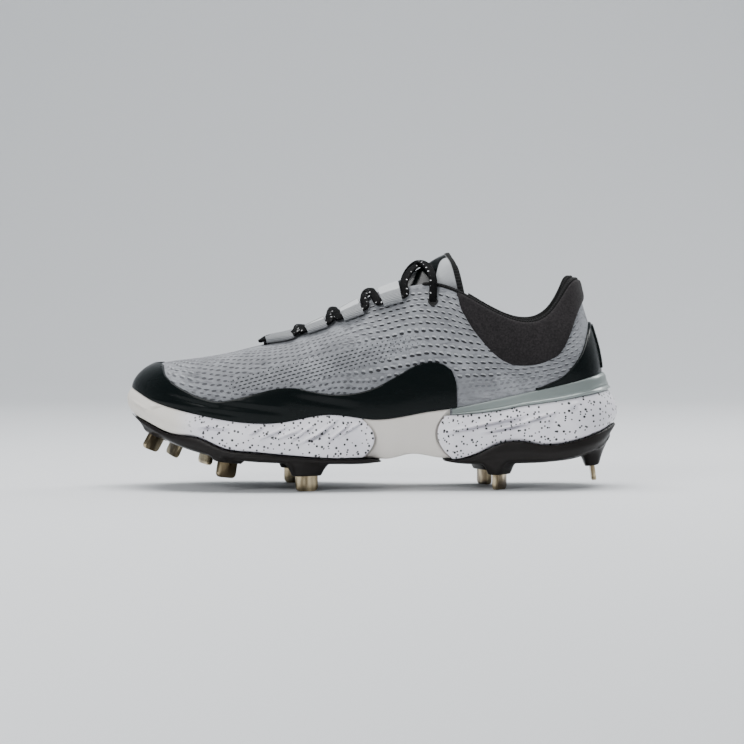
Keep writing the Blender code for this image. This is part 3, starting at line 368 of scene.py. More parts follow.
def border(table, u):
    """How far up each column meets a border that is given as seen from the side."""
    line = table_line(table)

    def above(v):
        points = last(u, v)
        return points[..., 2] - line(share_of(points[..., 0])) * HEIGHT

    return solve(above, np.full(len(u), FEATHER), np.ones(len(u)))


def station_at(target, v, low, high):
    """The station between low and high where the column at v has X = target."""
    rising = last(high, v)[0] > last(low, v)[0]
    sign = 1 if rising else -1
    return float(solve(lambda u: sign * (last(u, v)[..., 0] - target), low, high))


def smooth(x):
    """A soft step from 0 at x = 0 to 1 at x = 1."""
    x = np.clip(x, 0, 1)
    return x * x * (3 - 2 * x)


# Meshes

def loft(name, sections, closed=False, cap="strip", tips=(), uv=None, fields=None, sharp=50):
    """A mesh through sections, each a closed ring of points.

    uv holds a pair for each point, with one more column, and one more row where closed;
    fields holds named values for each point; tips are ends that have come together.
    """
    sections = np.asarray(sections, float)
    rows, count = sections.shape[:2]
    spans = rows if closed else rows - 1
    i, j = np.meshgrid(np.arange(spans), np.arange(count), indexing="ij")
    i, j = i.ravel(), j.ravel()
    i_next, j_next = (i + 1) % rows, (j + 1) % count
    quads = np.stack([i * count + j, i * count + j_next,
                      i_next * count + j_next, i_next * count + j], axis=1)
    faces = quads.tolist()
    for end in () if closed else {0, rows - 1} - {tip % rows for tip in tips}:
        ring = np.arange(count) + end * count
        if cap == "strip":
            faces += [[ring[k], ring[k + 1], ring[-2 - k], ring[-1 - k]]
                      for k in range(count // 2 - 1)]
        else:
            faces += [[ring[k] for k in part] for part in cap or [range(count)]]
    mesh = bpy.data.meshes.new(name)
    mesh.from_pydata(sections.reshape(-1, 3).tolist(), [], faces)
    for field, values in (fields or {}).items():
        attribute = mesh.attributes.new(field, "FLOAT", "POINT")
        spread = np.broadcast_to(values, (rows, count)).astype(np.float32)
        attribute.data.foreach_set("value", spread.ravel())
    if uv is not None:
        layer_data = mesh.uv_layers.new(name="UVMap").data
        corners = np.stack([uv[i, j], uv[i, j + 1], uv[i + 1, j + 1], uv[i + 1, j]], axis=1)
        flat = np.zeros((len(mesh.loops), 2), np.float32)
        flat[:len(corners) * 4] = corners.reshape(-1, 2)
        layer_data.foreach_set("uv", flat.ravel())
    work = bmesh.new()
    work.from_mesh(mesh)
    bmesh.ops.remove_doubles(work, verts=work.verts, dist=2e-6)
    bmesh.ops.dissolve_degenerate(work, edges=work.edges, dist=1e-7)
    bmesh.ops.recalc_face_normals(work, faces=work.faces)
    work.to_mesh(mesh)
    work.free()
    mesh.shade_smooth()
    mesh.set_sharp_from_angle(angle=math.radians(sharp))
    made = bpy.data.objects.new(name, mesh)
    bpy.context.scene.collection.objects.link(made)
    return made


def piece(made, look, slot, *nodes):
    """Gives a mesh its material and its place in the shoe."""
    made.data.materials.clear()
    made.data.materials.append(look)
    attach(made, "root")
    if nodes:
        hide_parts(*nodes)
    return made


def arc_uv(sections):
    """UVs in metres: along the sections and round them, measured on the mesh."""
    sections = np.asarray(sections, float)
    ring = np.concatenate([sections, sections[:, :1]], axis=1)
    along = np.linalg.norm(np.diff(ring, axis=0), axis=2).max(axis=1)
    along = np.insert(np.cumsum(along), 0, 0)
    round_it = np.linalg.norm(np.diff(ring, axis=1), axis=2).mean(axis=0)
    round_it = np.insert(np.cumsum(round_it), 0, 0)
    return np.stack(np.meshgrid(along, round_it, indexing="ij"), axis=2)


def strokes(x, z, table, lip=0.0):
    """Relief of soft grooves drawn as segments in the side view.

    Each row holds both ends as place and height shares, a depth and a width in metres;
    lip raises the upper side of each groove by that share of its depth.
    """
    relief = np.zeros(np.shape(x))
    for x1, z1, x2, z2, depth, width in table:
        a = np.array([place(x1), z1 * HEIGHT])
        b = np.array([place(x2), z2 * HEIGHT])
        way = b - a
        size = np.linalg.norm(way)
        way = way / size
        t = ((x - a[0]) * way[0] + (z - a[1]) * way[1]) / size
        n = -(x - a[0]) * way[1] + (z - a[1]) * way[0]
        fade = np.sin(np.pi * np.clip(t, 0, 1)) ** 0.6
        relief -= depth * fade * np.exp(-(n / width) ** 2)
        relief += depth * lip * fade * np.exp(-((n - 1.5 * width) / width) ** 2)
    return relief


def rounded(distance, radius):
    """The height of a rounded border, 0 at its edge and 1 from the radius on."""
    t = 1 - np.clip(np.asarray(distance, float) / radius, 0, 1)
    return np.sqrt(np.clip(1 - t * t, 0, 1))


# Materials

class Look:
    """A material whose node tree is built by short calls."""

    def __init__(self, name, colour, roughness, **values):
        self.made = bpy.data.materials.new(name)
        self.made.use_nodes = True
        self.tree = self.made.node_tree
        self.shader = self.tree.nodes["Principled BSDF"]
        self.set("Base Color", colour)
        self.set("Roughness", roughness)
        for socket, value in values.items():
            self.set(socket.replace("_", " "), value)

    def put(self, socket, value):
        if isinstance(value, bpy.types.NodeSocket):
            self.tree.links.new(value, socket)
        elif isinstance(value, tuple) and socket.type == "RGBA":
            socket.default_value = (*value, 1)
        else:
            socket.default_value = value

    def set(self, socket, value):
        self.put(self.shader.inputs[socket], value)

    def node(self, kind, settings=(), **inputs):
        made = self.tree.nodes.new("ShaderNode" + kind)
        for key, value in dict(settings).items():
            setattr(made, key, value)
        for key, value in inputs.items():
            self.put(made.inputs[key.replace("_", " ")], value)
        return made

    def math(self, operation, *values):
        made = self.node("Math", {"operation": operation})
        for i, value in enumerate(values):
            self.put(made.inputs[i], value)
        return made.outputs[0]

    def plus(self, a, b):
        return self.math("ADD", a, b)

    def minus(self, a, b):
        return self.math("SUBTRACT", a, b)

    def times(self, a, b):
        return self.math("MULTIPLY", a, b)

    def over(self, a, b):
        return self.math("DIVIDE", a, b)

    def ribs(self, value, pitch):
        """A sine wave along value that repeats every pitch."""
        return self.math("SINE", self.times(value, 2 * math.pi / pitch))

    def mix(self, factor, a, b):
        made = self.node("Mix", {"data_type": "RGBA"})
        for i, value in ((0, factor), (6, a), (7, b)):
            self.put(made.inputs[i], value)
        return made.outputs[2]

    def step(self, value, low, high):
        """A soft step from 0 below low to 1 above high."""
        made = self.node("MapRange", {"interpolation_type": "SMOOTHSTEP"}, Value=value,
                         From_Min=low, From_Max=high)
        return made.outputs[0]

    def where(self, kind="Object"):
        return self.node("TexCoord").outputs[kind]

    def parts(self, vector):
        return self.node("SeparateXYZ", Vector=vector).outputs

    def along_up(self):
        """The mesh's own U and V, in metres."""
        return self.parts(self.where("UV"))[:2]

    def stretched(self, x, y, z):
        made = self.node("Mapping", Vector=self.where())
        made.inputs["Scale"].default_value = (x, y, z)
        return made.outputs[0]

    def noise(self, scale, detail=2.0, vector=None, roughness=0.5):
        made = self.node("TexNoise", Vector=vector or self.where(), Scale=scale,
                         Detail=detail, Roughness=roughness)
        return made.outputs["Fac"]

    def field(self, name):
        return self.node("Attribute", {"attribute_name": name}).outputs["Fac"]

    def bump(self, height_value, distance, strength=1.0, under=None):
        made = self.node("Bump", Height=height_value, Distance=distance, Strength=strength)
        if under is not None:
            self.put(made.inputs["Normal"], under)
        self.set("Normal", made.outputs[0])
        return made.outputs[0]


def dashes(look, along, up, rows, half_long, half_high, tilt=0.0):
    """A mask of short dashes in staggered rows; half_long may vary over the surface.

    rows holds the pitch along a row and the rise from row to row.
    """
    pitch, rise = rows
    row = look.over(up, rise)
    line = look.math("FLOOR", row)
    shift = look.times(look.math("MODULO", line, 2.0), 0.5)
    column = look.plus(look.over(along, pitch), shift)
    across = look.minus(look.math("FRACT", column), 0.5)
    x = look.times(across, pitch)
    y = look.times(look.minus(look.math("FRACT", row), 0.5), rise)
    if tilt:
        y = look.minus(y, look.times(x, tilt))
    x = look.math("POWER", look.over(x, half_long), 2.0)
    y = look.math("POWER", look.over(y, half_high), 2.0)
    return look.minus(1.0, look.step(look.plus(x, y), 0.7, 1.3))


# The knit's rows of marks: pitch along a row and rise from row to row
SLITS = (0.0044, 0.0027)
FLECKS = (0.0036, 0.0021)
PRINTED = (0.0031, 0.0021)
INK = (0.012, 0.012, 0.013)


def knit_look():
    """The upper's engineered mesh: fine knit, slits in rows with a painted highlight on their lips,
    and a printed dash field.
    """
    look = Look("knit", (0.40, 0.41, 0.425), 0.80, Specular_IOR_Level=0.25)
    u, v = look.along_up()
    v_row = look.plus(v, look.times(look.minus(look.noise(70, 2), 0.5), 0.0022))
    vary = look.noise(230, 1)
    long_half = look.plus(look.times(vary, 0.0016), 0.0006)
    vents = look.field("vents")
    slits = look.times(dashes(look, u, v_row, SLITS, long_half, 0.00040, 0.12), vents)
    # Painted highlight: a pale dash beside each slit, where light catches its raised lip; the same
    # mask raises the lip in the bump.
    above = look.minus(v_row, 0.00062)
    lit_lips = look.times(dashes(look, u, above, SLITS, long_half, 0.00040, 0.12), vents)
    fleck_half = look.plus(look.times(vary, 0.0018), 0.0002)
    flecks = dashes(look, u, v_row, FLECKS, fleck_half, 0.00042, -0.10)
    flecks = look.times(flecks, look.field("dimples"))
    mark = look.field("print")
    size = look.plus(look.times(mark, 0.00125), 0.00001)
    printed = dashes(look, look.field("print_along"), look.field("print_up"), PRINTED,
                     size, 0.00042)
    printed = look.times(printed, look.step(mark, 0.02, 0.12))
    fine = look.node("TexVoronoi", Vector=look.stretched(900, 900, 1500), Scale=1.0)
    loops = fine.outputs["Distance"]
    cloud = look.noise(38, 4, roughness=0.65)
    streak = look.noise(260, 3, look.stretched(0.5, 1, 2.2), 0.7)
    base = look.mix(look.step(cloud, 0.30, 0.70), (0.185, 0.190, 0.203), (0.320, 0.330, 0.350))
    base = look.mix(look.times(look.step(streak, 0.47, 0.70), 0.72), base, (0.10, 0.10, 0.11))
    base = look.mix(look.times(look.step(loops, 0.2, 0.7), 0.30), base, (0.17, 0.175, 0.185))
    base = look.mix(look.times(flecks, 0.85), base, (0.05, 0.05, 0.055))
    # Painted highlight on the slits' lips.
    base = look.mix(look.times(lit_lips, 0.55), base, (0.52, 0.53, 0.55))
    base = look.mix(look.times(printed, 0.94), base, INK)
    look.set("Base Color", look.mix(look.times(slits, 0.95), base, (0.012, 0.012, 0.014)))
    knit = look.bump(loops, 0.00025, 0.35)
    puffs = look.minus(look.times(lit_lips, 0.8), look.plus(slits, look.times(flecks, 0.5)))
    look.bump(puffs, 0.0007, 0.9, knit)
    return look.made


def gloss_look(name, colour, roughness, coat):
    """A glossy fused film over fine creases."""
    look = Look(name, colour, roughness, Coat_Weight=coat, Coat_Roughness=0.10,
                Specular_IOR_Level=0.11)
    scuffs = look.noise(60, 4, look.stretched(1.0, 1.0, 2.5))
    look.set("Roughness", look.plus(look.times(scuffs, 0.22), roughness - 0.08))
    wrinkles = look.noise(150, 3, look.stretched(0.7, 1.0, 1.6))
    look.bump(wrinkles, 0.0006, 0.25)
    return look.made


def cloth_look(name, dark, light, grain):
    """A matt stretch cloth, such as the collar's, with a heathered face."""
    look = Look(name, dark, 0.85, Sheen_Weight=0.03, Sheen_Roughness=0.4,
                Specular_IOR_Level=0.15)
    heather = look.noise(grain, 3, roughness=0.7)
    cloud = look.noise(30, 2)
    both = look.plus(look.times(heather, 0.7), look.times(cloud, 0.3))
    look.set("Base Color", look.mix(look.step(both, 0.35, 0.65), dark, light))
    look.bump(heather, 0.0003, 0.35)
    return look.made


def ribbed_look(name, dark, light, pitch):
    """Ribbed tape: dark, with a painted highlight on the crowns of its slanted ribs."""
    look = Look(name, dark, 0.80, Specular_IOR_Level=0.2)
    u, v = look.along_up()
    slant = look.plus(u, look.times(v, 0.7))
    both = look.times(look.ribs(slant, pitch), look.ribs(v, pitch * 1.3))
    # Painted highlight: the ribs' crowns are lightened in the colour, over the same ribs as the
    # bump.
    look.set("Base Color", look.mix(look.step(both, 0.1, 0.9), dark, light))
    look.bump(both, 0.0005, 0.8)
    return look.made


SPECKS = (
    # cells to a metre, largest radius in cells, share of the cells that hold one
    (230, 0.19, 0.85),
    (340, 0.20, 0.40),
)


def speckled_look(name, plain_until=None):
    """Foam with black specks; none shows ahead of plain_until, which is beige."""
    look = Look(name, (0.78, 0.76, 0.80), 0.55)
    specks = None
    for scale, reach, share in SPECKS:
        cells = look.node("TexVoronoi", {"voronoi_dimensions": "2D"}, Vector=look.where("UV"),
                          Scale=scale)
        pick = look.parts(cells.outputs["Color"])
        size = look.minus(reach, look.times(pick[1], reach * 0.35))
        spot = look.step(look.minus(size, cells.outputs["Distance"]), -0.02, 0.03)
        spot = look.times(spot, look.math("LESS_THAN", pick[0], share))
        specks = spot if specks is None else look.math("MAXIMUM", specks, spot)
    cloud = look.noise(40, 3)
    foam = look.mix(look.step(cloud, 0.3, 0.7), (0.70, 0.68, 0.73), (0.80, 0.78, 0.82))
    if plain_until is not None:
        x = look.parts(look.where())[0]
        ahead = look.step(x, plain_until - 0.006, plain_until + 0.010)
        foam = look.mix(ahead, (0.72, 0.68, 0.62), foam)
        specks = look.times(specks, look.step(x, plain_until, plain_until + 0.012))
    look.set("Base Color", look.mix(specks, foam, (0.012, 0.012, 0.014)))
    look.bump(look.noise(900, 2), 0.0002, 0.25)
    return look.made


def foam_look():
    """The plain beige foam of the waist."""
    look = Look("beige_foam", (0.66, 0.62, 0.57), 0.5, Subsurface_Weight=0.05)
    look.shader.inputs["Subsurface Radius"].default_value = (0.002, 0.002, 0.002)
    cloud = look.noise(35, 3)
    look.set("Base Color", look.mix(cloud, (0.62, 0.58, 0.53), (0.70, 0.66, 0.61)))
    look.bump(look.noise(900, 2), 0.0002, 0.2)
    return look.made


def band_look():
    """Satin silver green of the heel band."""
    look = Look("silver_band", (0.36, 0.40, 0.385), 0.32, Metallic=0.45, Coat_Weight=0.2)
    cloud = look.noise(60, 3, look.stretched(0.4, 1, 2))
    look.set("Base Color", look.mix(cloud, (0.20, 0.235, 0.225), (0.27, 0.305, 0.29)))
    look.set("Roughness", look.plus(look.times(look.noise(200), 0.16), 0.24))
    look.bump(look.noise(1200, 2), 0.0001, 0.2)
    return look.made


def plate_look():
    """The outsole's satin black plastic."""
    look = Look("black_plate", (0.020, 0.017, 0.016), 0.36, Specular_IOR_Level=0.18)
    cloud = look.noise(45, 4, roughness=0.6)
    look.set("Base Color", look.mix(cloud, (0.005, 0.0042, 0.0038), (0.012, 0.0098, 0.009)))
    look.set("Roughness", look.plus(look.times(cloud, 0.3), 0.24))
    look.bump(look.noise(700, 3), 0.0002, 0.25)
    return look.made


def steel_look():
    """Champagne plated steel, its roughness a little scuffed; dark and bright patches in its colour
    are painted reflections.
    """
    look = Look("spike_steel", (0.70, 0.60, 0.42), 0.28, Metallic=1.0)
    cloud = look.noise(110, 2, look.stretched(1, 1, 0.4))
    # Painted reflection: dark and bright patches in the metal's colour stand in for a darker and a
    # brighter surrounding.
    painted_reflection = look.step(cloud, 0.40, 0.62)
    look.set("Base Color", look.mix(painted_reflection, (0.13, 0.10, 0.06), (0.66, 0.55, 0.36)))
    streaks = look.noise(500, 2, look.stretched(1, 1, 0.2))
    look.set("Roughness", look.plus(look.times(streaks, 0.2), 0.10))
    look.bump(streaks, 0.0001, 0.3)
    return look.made


def lace_look():
    """A black woven lace with white flecks along it, its raised weave painted a little lighter as a
    highlight.
    """
    look = Look("black_lace", (0.010, 0.010, 0.011), 0.6, Specular_IOR_Level=0.05)
    u, v = look.along_up()
    flecks = dashes(look, u, look.plus(v, 0.0014), (0.0042, 0.0058), 0.00042, 0.00048, 0.6)
    weave = dashes(look, u, v, (0.0011, 0.0009), 0.00042, 0.00028, -0.5)
    # Painted highlight: the raised dashes of the weave are lightened in the colour.
    base = look.mix(weave, (0.0015, 0.0015, 0.0018), (0.007, 0.007, 0.0075))
    flecks = look.times(flecks, look.step(look.noise(330, 1), 0.42, 0.56))
    look.set("Base Color", look.mix(flecks, base, (0.72, 0.72, 0.72)))
    look.bump(weave, 0.0003, 0.7)
    return look.made


def webbing_look():
    """Light grey webbing whose lower half is ribbed, with a painted sheen on its smooth top and
    painted shade in its rib grooves.
    """
    look = Look("webbing_grey", (0.42, 0.43, 0.44), 0.75)
    u, v = look.along_up()
    low = look.field("ribbed")
    ribs = look.times(look.ribs(v, 0.0010), low)
    cross = look.ribs(u, 0.0009)
    # Painted highlight: the smooth upper part is lighter, as its sheen.
    sheen_tone = look.mix(low, (0.50, 0.51, 0.52), (0.34, 0.35, 0.36))
    # Painted shade: the rib grooves are darkened.
    look.set("Base Color", look.mix(look.step(ribs, 0.0, 0.9), sheen_tone, (0.20, 0.205, 0.215)))
    woven = look.bump(cross, 0.0002, 0.25)
    look.bump(look.times(ribs, -1.0), 0.0004, 0.8, woven)
    return look.made


def tongue_look():
    """The tongue's pale knit face, darker towards the laces, with a plain dark patch and a binding
    whose ribs carry a painted highlight.
    """
    look = Look("tongue_knit", (0.55, 0.56, 0.57), 0.85, Specular_IOR_Level=0.2)
    fine = look.node("TexVoronoi", Vector=look.where(), Scale=1300)
    mottle = look.times(look.noise(900, 3, roughness=0.7), 0.5)
    shade = look.step(look.plus(mottle, look.field("low")), 0.25, 1.20)
    face = look.mix(shade, (0.42, 0.43, 0.44), (0.10, 0.10, 0.11))
    dark = look.field("patch")
    ribs = look.ribs(look.along_up()[1], 0.001309)
    bound = look.field("bound")
    # Painted highlight: the binding's rib crowns are lighter in the colour; the ribs have no bump.
    binding = look.mix(look.step(ribs, 0.0, 0.9), (0.004, 0.004, 0.004), (0.020, 0.020, 0.020))
    face = look.mix(dark, face, (0.002, 0.003, 0.003))
    look.set("Base Color", look.mix(bound, face, binding))
    look.set("Roughness", look.minus(0.85, look.times(dark, 0.62)))
    look.bump(fine.outputs["Distance"], 0.0003, look.minus(0.5, look.times(dark, 0.4)))
    return look.made


# The upper and what lies on it

FLEX_CREASES = (
    # place and height shares at both ends, depth, width
    (0.243, 0.535, 0.292, 0.455, 0.0007, 0.0016),
    (0.262, 0.560, 0.315, 0.470, 0.0008, 0.0017),
    (0.214, 0.520, 0.255, 0.440, 0.0005, 0.0015),
    (0.300, 0.520, 0.360, 0.455, 0.0004, 0.0018),
    (0.740, 0.560, 0.800, 0.470, 0.0005, 0.0024),
    (0.770, 0.520, 0.840, 0.465, 0.0004, 0.0022),
    (0.600, 0.690, 0.660, 0.600, 0.0004, 0.0026),
    (0.545, 0.640, 0.610, 0.560, 0.0003, 0.0024),
)
GUARD_CREASES = (
    (0.050, 0.370, 0.150, 0.335, 0.0004, 0.0012),
    (0.090, 0.400, 0.200, 0.345, 0.0004, 0.0013),
    (0.150, 0.345, 0.240, 0.318, 0.0003, 0.0012),
    (0.110, 0.440, 0.1105, 0.388, 0.0005, 0.0005),
    (0.190, 0.368, 0.330, 0.330, 0.0004, 0.0018),
    (0.330, 0.400, 0.470, 0.350, 0.0003, 0.0022),
)
PRINT_START = (0.215, 0.410)  # place and height shares
PRINT_SLOPE = math.radians(15.5)
PRINT_LENGTH = 0.130
PRINT_HALF = 0.0095
RIDGE_RISE = 0.0006
RIDGE_AWAY = 0.0058
RIDGE_WIDTH = 0.0024


def creases(u, v):
    """How far the upper stands off the smooth last: soft troughs and one ridge."""
    points = last(u, v)
    x, z = points[..., 0], points[..., 2]
    relief = strokes(x, z, FLEX_CREASES, lip=0.5)
    line = table_line(MUDGUARD_BORDER)
    away = z - line(share_of(x)) * HEIGHT
    zone = smooth((share_of(x) - 0.45) / 0.05) * (1 - smooth((share_of(x) - 0.66) / 0.05))
    relief += RIDGE_RISE * zone * np.exp(-((away - RIDGE_AWAY) / RIDGE_WIDTH) ** 2)
    return relief


def skin_at(u, v, offset):
    """The creased upper's surface, moved out by offset."""
    return layer(u, v, np.asarray(offset, float) + creases(u, v))


def window(x, rise, full, fall, end):
    """1 between full and fall, and softly 0 before rise and after end."""
    return smooth((x - rise) / (full - rise)) * (1 - smooth((x - fall) / (end - fall)))


UPPER_COLUMNS = 480
UPPER_ROWS = np.linspace(0, 1, 58)
INSIDE_ROWS = np.linspace(1, 0, 14)
WALL_RISE = 0.062  # metres of knit from the foot bed to the edge, as the slits count them


def edge_way(u):
    """Unit steps up the wall at the opening's edge."""
    up = last(u, 1.0) - last(u, 0.97)
    return up / np.linalg.norm(up, axis=1)[:, None]


def upper_skin(u, v):
    """Sections of the upper: its face, its rounded edge and its inside."""
    outside = skin_at(*np.meshgrid(u, v, indexing="ij"), 0.0)
    up = edge_way(u)
    lip = []
    for angle in (30, 60, 90, 120, 150):
        c, s = math.cos(math.radians(angle)), math.sin(math.radians(angle))
        lip.append(layer(u, 1.0, (c - 1) * UPPER_WALL / 2) + up * s * UPPER_WALL * 0.35)
    inside = layer(*np.meshgrid(u, INSIDE_ROWS, indexing="ij"), -UPPER_WALL)
    return np.concatenate([outside, np.stack(lip, axis=1), inside], axis=1)


# Zones of the knit, by place along the shoe: fades in, full, starts to fade out, gone
SIDE_VENTS = (0.40, 0.52, 0.74, 0.80)
HEEL_VENTS = (0.72, 0.78, 0.90, 0.93)
TOE_VENTS = (0.075, 0.10, 0.13, 0.165)
FRONT_DIMPLES = (0.09, 0.14, 0.60, 0.72)
PLAIN_THROAT = (0.22, 0.27, 0.42, 0.52)
HEEL_DIMPLES = (0.66, 0.72, 0.83, 0.90)


def upper_fields(sections, v):
    """Where the upper has open slits, dimples and the printed field."""
    count = sections.shape[1]
    x = share_of(sections[..., 0])
    z = sections[..., 2] / HEIGHT
    face = np.zeros((1, count))
    face[:, :len(v)] = 1 - smooth((v - 0.955) / 0.02)
    v_of = np.ones((1, count))
    v_of[:, :len(v)] = v
    vents = np.maximum(window(x, *SIDE_VENTS), 0.75 * window(x, *HEEL_VENTS))
    vents *= smooth((z - 0.44) / 0.05)
    vents = np.maximum(vents, 0.6 * window(x, *TOE_VENTS))
    line = table_line(MUDGUARD_BORDER)
    above = z - line(x)
    along_x, up_z = math.cos(PRINT_SLOPE), math.sin(PRINT_SLOPE)
    from_x, from_z = place(PRINT_START[0]), PRINT_START[1] * HEIGHT
    away_x, away_z = sections[..., 0] - from_x, sections[..., 2] - from_z
    print_along = away_x * along_x + away_z * up_z
    print_up = away_z * along_x - away_x * up_z
    half = PRINT_HALF * (1 - 0.45 * print_along / PRINT_LENGTH)
    mark = window(print_along, -0.004, 0.012, PRINT_LENGTH * 0.5, PRINT_LENGTH)
    mark *= 1 - smooth((np.abs(print_up) - half * 0.55) / (half * 0.45))
    mark *= smooth((above - 0.012) / 0.02)
    vents *= 1 - smooth(mark * 3)
    dimples = window(x, *FRONT_DIMPLES) * (1 - vents) * (1 - mark)
    dimples *= 1 - 0.8 * window(x, *PLAIN_THROAT) * smooth((v_of - 0.80) / 0.06)
    low_heel = (1 - smooth((z - 0.47) / 0.05)) * smooth((z - 0.405) / 0.02)
    dimples = np.maximum(dimples, 0.5 * window(x, *HEEL_DIMPLES) * low_heel)
    return {"vents": vents * face, "print": mark * face, "dimples": dimples * face,
            "print_along": print_along + 1.0, "print_up": print_up + 1.0}


def upper(look):
    """The knit upper: its face, its rounded edge and its inside."""
    u = np.arange(UPPER_COLUMNS) * ROUND / UPPER_COLUMNS
    v = UPPER_ROWS
    sections = upper_skin(u, v)
    along = run_along(last(np.append(u, 0.0), 0.7))
    up_share = np.concatenate([v, np.linspace(1.01, 1.9, sections.shape[1] - len(v) + 1)])
    uv = np.stack(np.meshgrid(along, up_share * WALL_RISE, indexing="ij"), axis=2)
    made = loft("upper_knit", sections, closed=True, uv=uv, fields=upper_fields(sections, v))
    piece(made, look, "knit_grey", "upper")


SINK = 0.0002  # how far a layer's back lies in what it covers
FILM_EDGE = 0.0001  # how far a film's border stands off the upper


def patch(u, low, high, rows, edge_row):
    """A grid of stations and shares up the wall between two borders, its points on the
    last, the metres up each column, and how near each point is to the patch's ends,
    measured along edge_row."""
    uu = np.repeat(np.asarray(u, float)[:, None], rows, axis=1)
    v = low[:, None] + (high - low)[:, None] * np.linspace(0, 1, rows)
    base = last(uu, v)
    climb = run_along(base.transpose(1, 0, 2)).T
    run = run_along(base[:, edge_row])[:, None]
    return uu, v, base, climb, np.minimum(run, run[-1] - run)


def shell(name, look, slot, node, uu, v, stand, back):
    """A thin layer on the creased upper: its face stands off it, its back is level."""
    outside = skin_at(uu, v, stand)
    inside = skin_at(uu[:, ::3], v[:, ::3], back)
    sections = np.concatenate([outside, inside[:, ::-1]], axis=1)
    return piece(loft(name, sections, uv=arc_uv(sections)), look, slot, node)


def film(name, look, node, u, low, high, inner, outer, rows, radius=0.0010, marks=()):
    """A glossy layer on the creased upper, thin and rounded at its borders."""
    uu, v, base, climb, ends = patch(u, low, high, rows, rows // 2)
    near = np.minimum(climb[:, -1:] - climb, ends)
    stand = inner + (outer - inner) * rounded(near, radius)
    stand += strokes(base[..., 0], base[..., 2], marks, lip=0.5)
    shell(name, look, "gloss_black", node, uu, v, stand, inner - SINK)


def spaced(start, end, count, ends=0.5):
    """Values from start to end, closer together near both of them."""
    t = np.linspace(0, 1, count)
    eased = t - ends * np.sin(2 * np.pi * t) / (2 * np.pi)
    return start + (end - start) * eased


def mudguard(look):
    """The glossy guard round the toe and the forefoot."""
    start = station_at(place(0.671), FEATHER, 5.0, 8.0)
    u = spaced(start, ROUND - start, 361, 0.3)
    low = np.full(len(u), FEATHER + 0.004)
    high = np.maximum(border(MUDGUARD_BORDER, u), low + 0.02)
    film("mudguard_film", look, "mudguard", u, low, high, FILM_EDGE, FACET_GAP + OVERLAY, 40,
         marks=GUARD_CREASES)


def heel_counter(look):
    """The glossy counter round the heel."""
    start = station_at(place(0.828), FEATHER, 3.0, 5.0)
    u = spaced(-start, start, 141, 0.0)
    low = np.full(len(u), FEATHER + 0.004)
    high = np.maximum(border(COUNTER_BORDER, u), low + 0.02)
    film("heel_counter_film", look, "heel_counter", u, low, high, FILM_EDGE, SKIN_GAP + OVERLAY, 46)


def heel_stay(look):
    """The upright strip over the back of the counter."""
    reach = STAY_WIDTH / 2 / np.linalg.norm(last(0.5, 0.5) - last(0.0, 0.5)) * 0.5
    u = np.linspace(-reach, reach, 21)
    low = np.full(len(u), FEATHER + 0.03)
    high = border(COUNTER_BORDER, u) - 0.02
    inner = SKIN_GAP + OVERLAY
    film("heel_stay_film", look, "heel_stay", u, low, high, inner, inner + OVERLAY * 0.9, 50,
         radius=0.0012)


def collar_pad(look):
    """The padded collar cover, crowned between its stitched borders."""
    start = station_at(place(0.671), 1.0, 5.0, 7.0)
    u = spaced(-start, start, 241, 0.5)
    low = np.minimum(border(PAD_BORDER, u), 0.97)
    uu, v, _, climb, ends = patch(u, low, np.ones(len(u)), 30, -1)
    stand = SINK + (PAD + GAP) * rounded(np.minimum(climb, ends), 0.0055)
    stand *= 1 - 0.45 * (1 - rounded(climb[:, -1:] - climb, 0.003))
    made = shell("collar_cover", look, "charcoal_cloth", "collar_pad", uu, v, stand, -SINK)


LINING_RING = (
    # share up the wall, inward as share of LINING, rise above the edge
    (0.52, 0.0, 0.0), (0.62, 0.0, 0.0), (0.72, 0.0, 0.0), (0.82, 0.0, 0.0),
    (0.91, 0.0, 0.0), (0.97, 0.0, 0.0), (1.0, 0.0, 0.0006), (1.0, -0.12, 0.0018),
    (1.0, -0.10, 0.0028), (1.0, 0.10, 0.0036), (1.0, 0.32, 0.0038), (1.0, 0.56, 0.0033),
    (1.0, 0.78, 0.0022), (0.99, 0.94, 0.0008), (0.96, 1.0, 0.0), (0.91, 1.0, 0.0),
    (0.82, 1.0, 0.0), (0.74, 0.95, 0.0), (0.66, 0.78, 0.0), (0.58, 0.45, 0.0),
    (0.53, 0.2, 0.0),
)


def collar_lining(look):
    """The padded lining, rolled up above the collar's edge."""
    start = station_at(place(0.697), 1.0, 5.0, 7.0)
    u = spaced(-start, start, 241, 0.3)
    near = -(UPPER_WALL + SKIN_GAP)
    sections = np.stack([layer(u, v, near - inward * LINING) + UP * rise
                         for v, inward, rise in LINING_RING], axis=1)
    made = loft("lining_knit", sections, uv=arc_uv(sections), cap=None)
    piece(made, look, "charcoal_cloth", "collar_lining")


BINDING_HALF = (0.0021, 0.0014)  # half its width and height
BINDING_RISE = 0.0006
BINDING_TAPER = 0.12  # in stations


def collar_binding(look):
    """The ribbed binding that covers the upper's edge beside the tongue and round the heel."""
    start = station_at(place(0.600), 1.0, 5.0, 8.5)
    u = spaced(-start, start, 521, 0.2)
    up, out = edge_way(u), normal(u, 1.0)
    size = 0.25 + 0.75 * rounded(np.minimum(u - u[0], u[-1] - u), BINDING_TAPER)
    middle = last(u, 1.0) - out * (UPPER_WALL * 0.5) + up * BINDING_RISE
    wide, tall = BINDING_HALF
    sections = np.stack([middle + out * (x * wide * size)[:, None] + up * (y * tall * size)[:, None]
                         for x, y in oval(2.2, 18)], axis=1)
    made = loft("collar_binding", sections, uv=arc_uv(sections), cap=None)
    piece(made, look, "charcoal_cloth", "collar_lining")


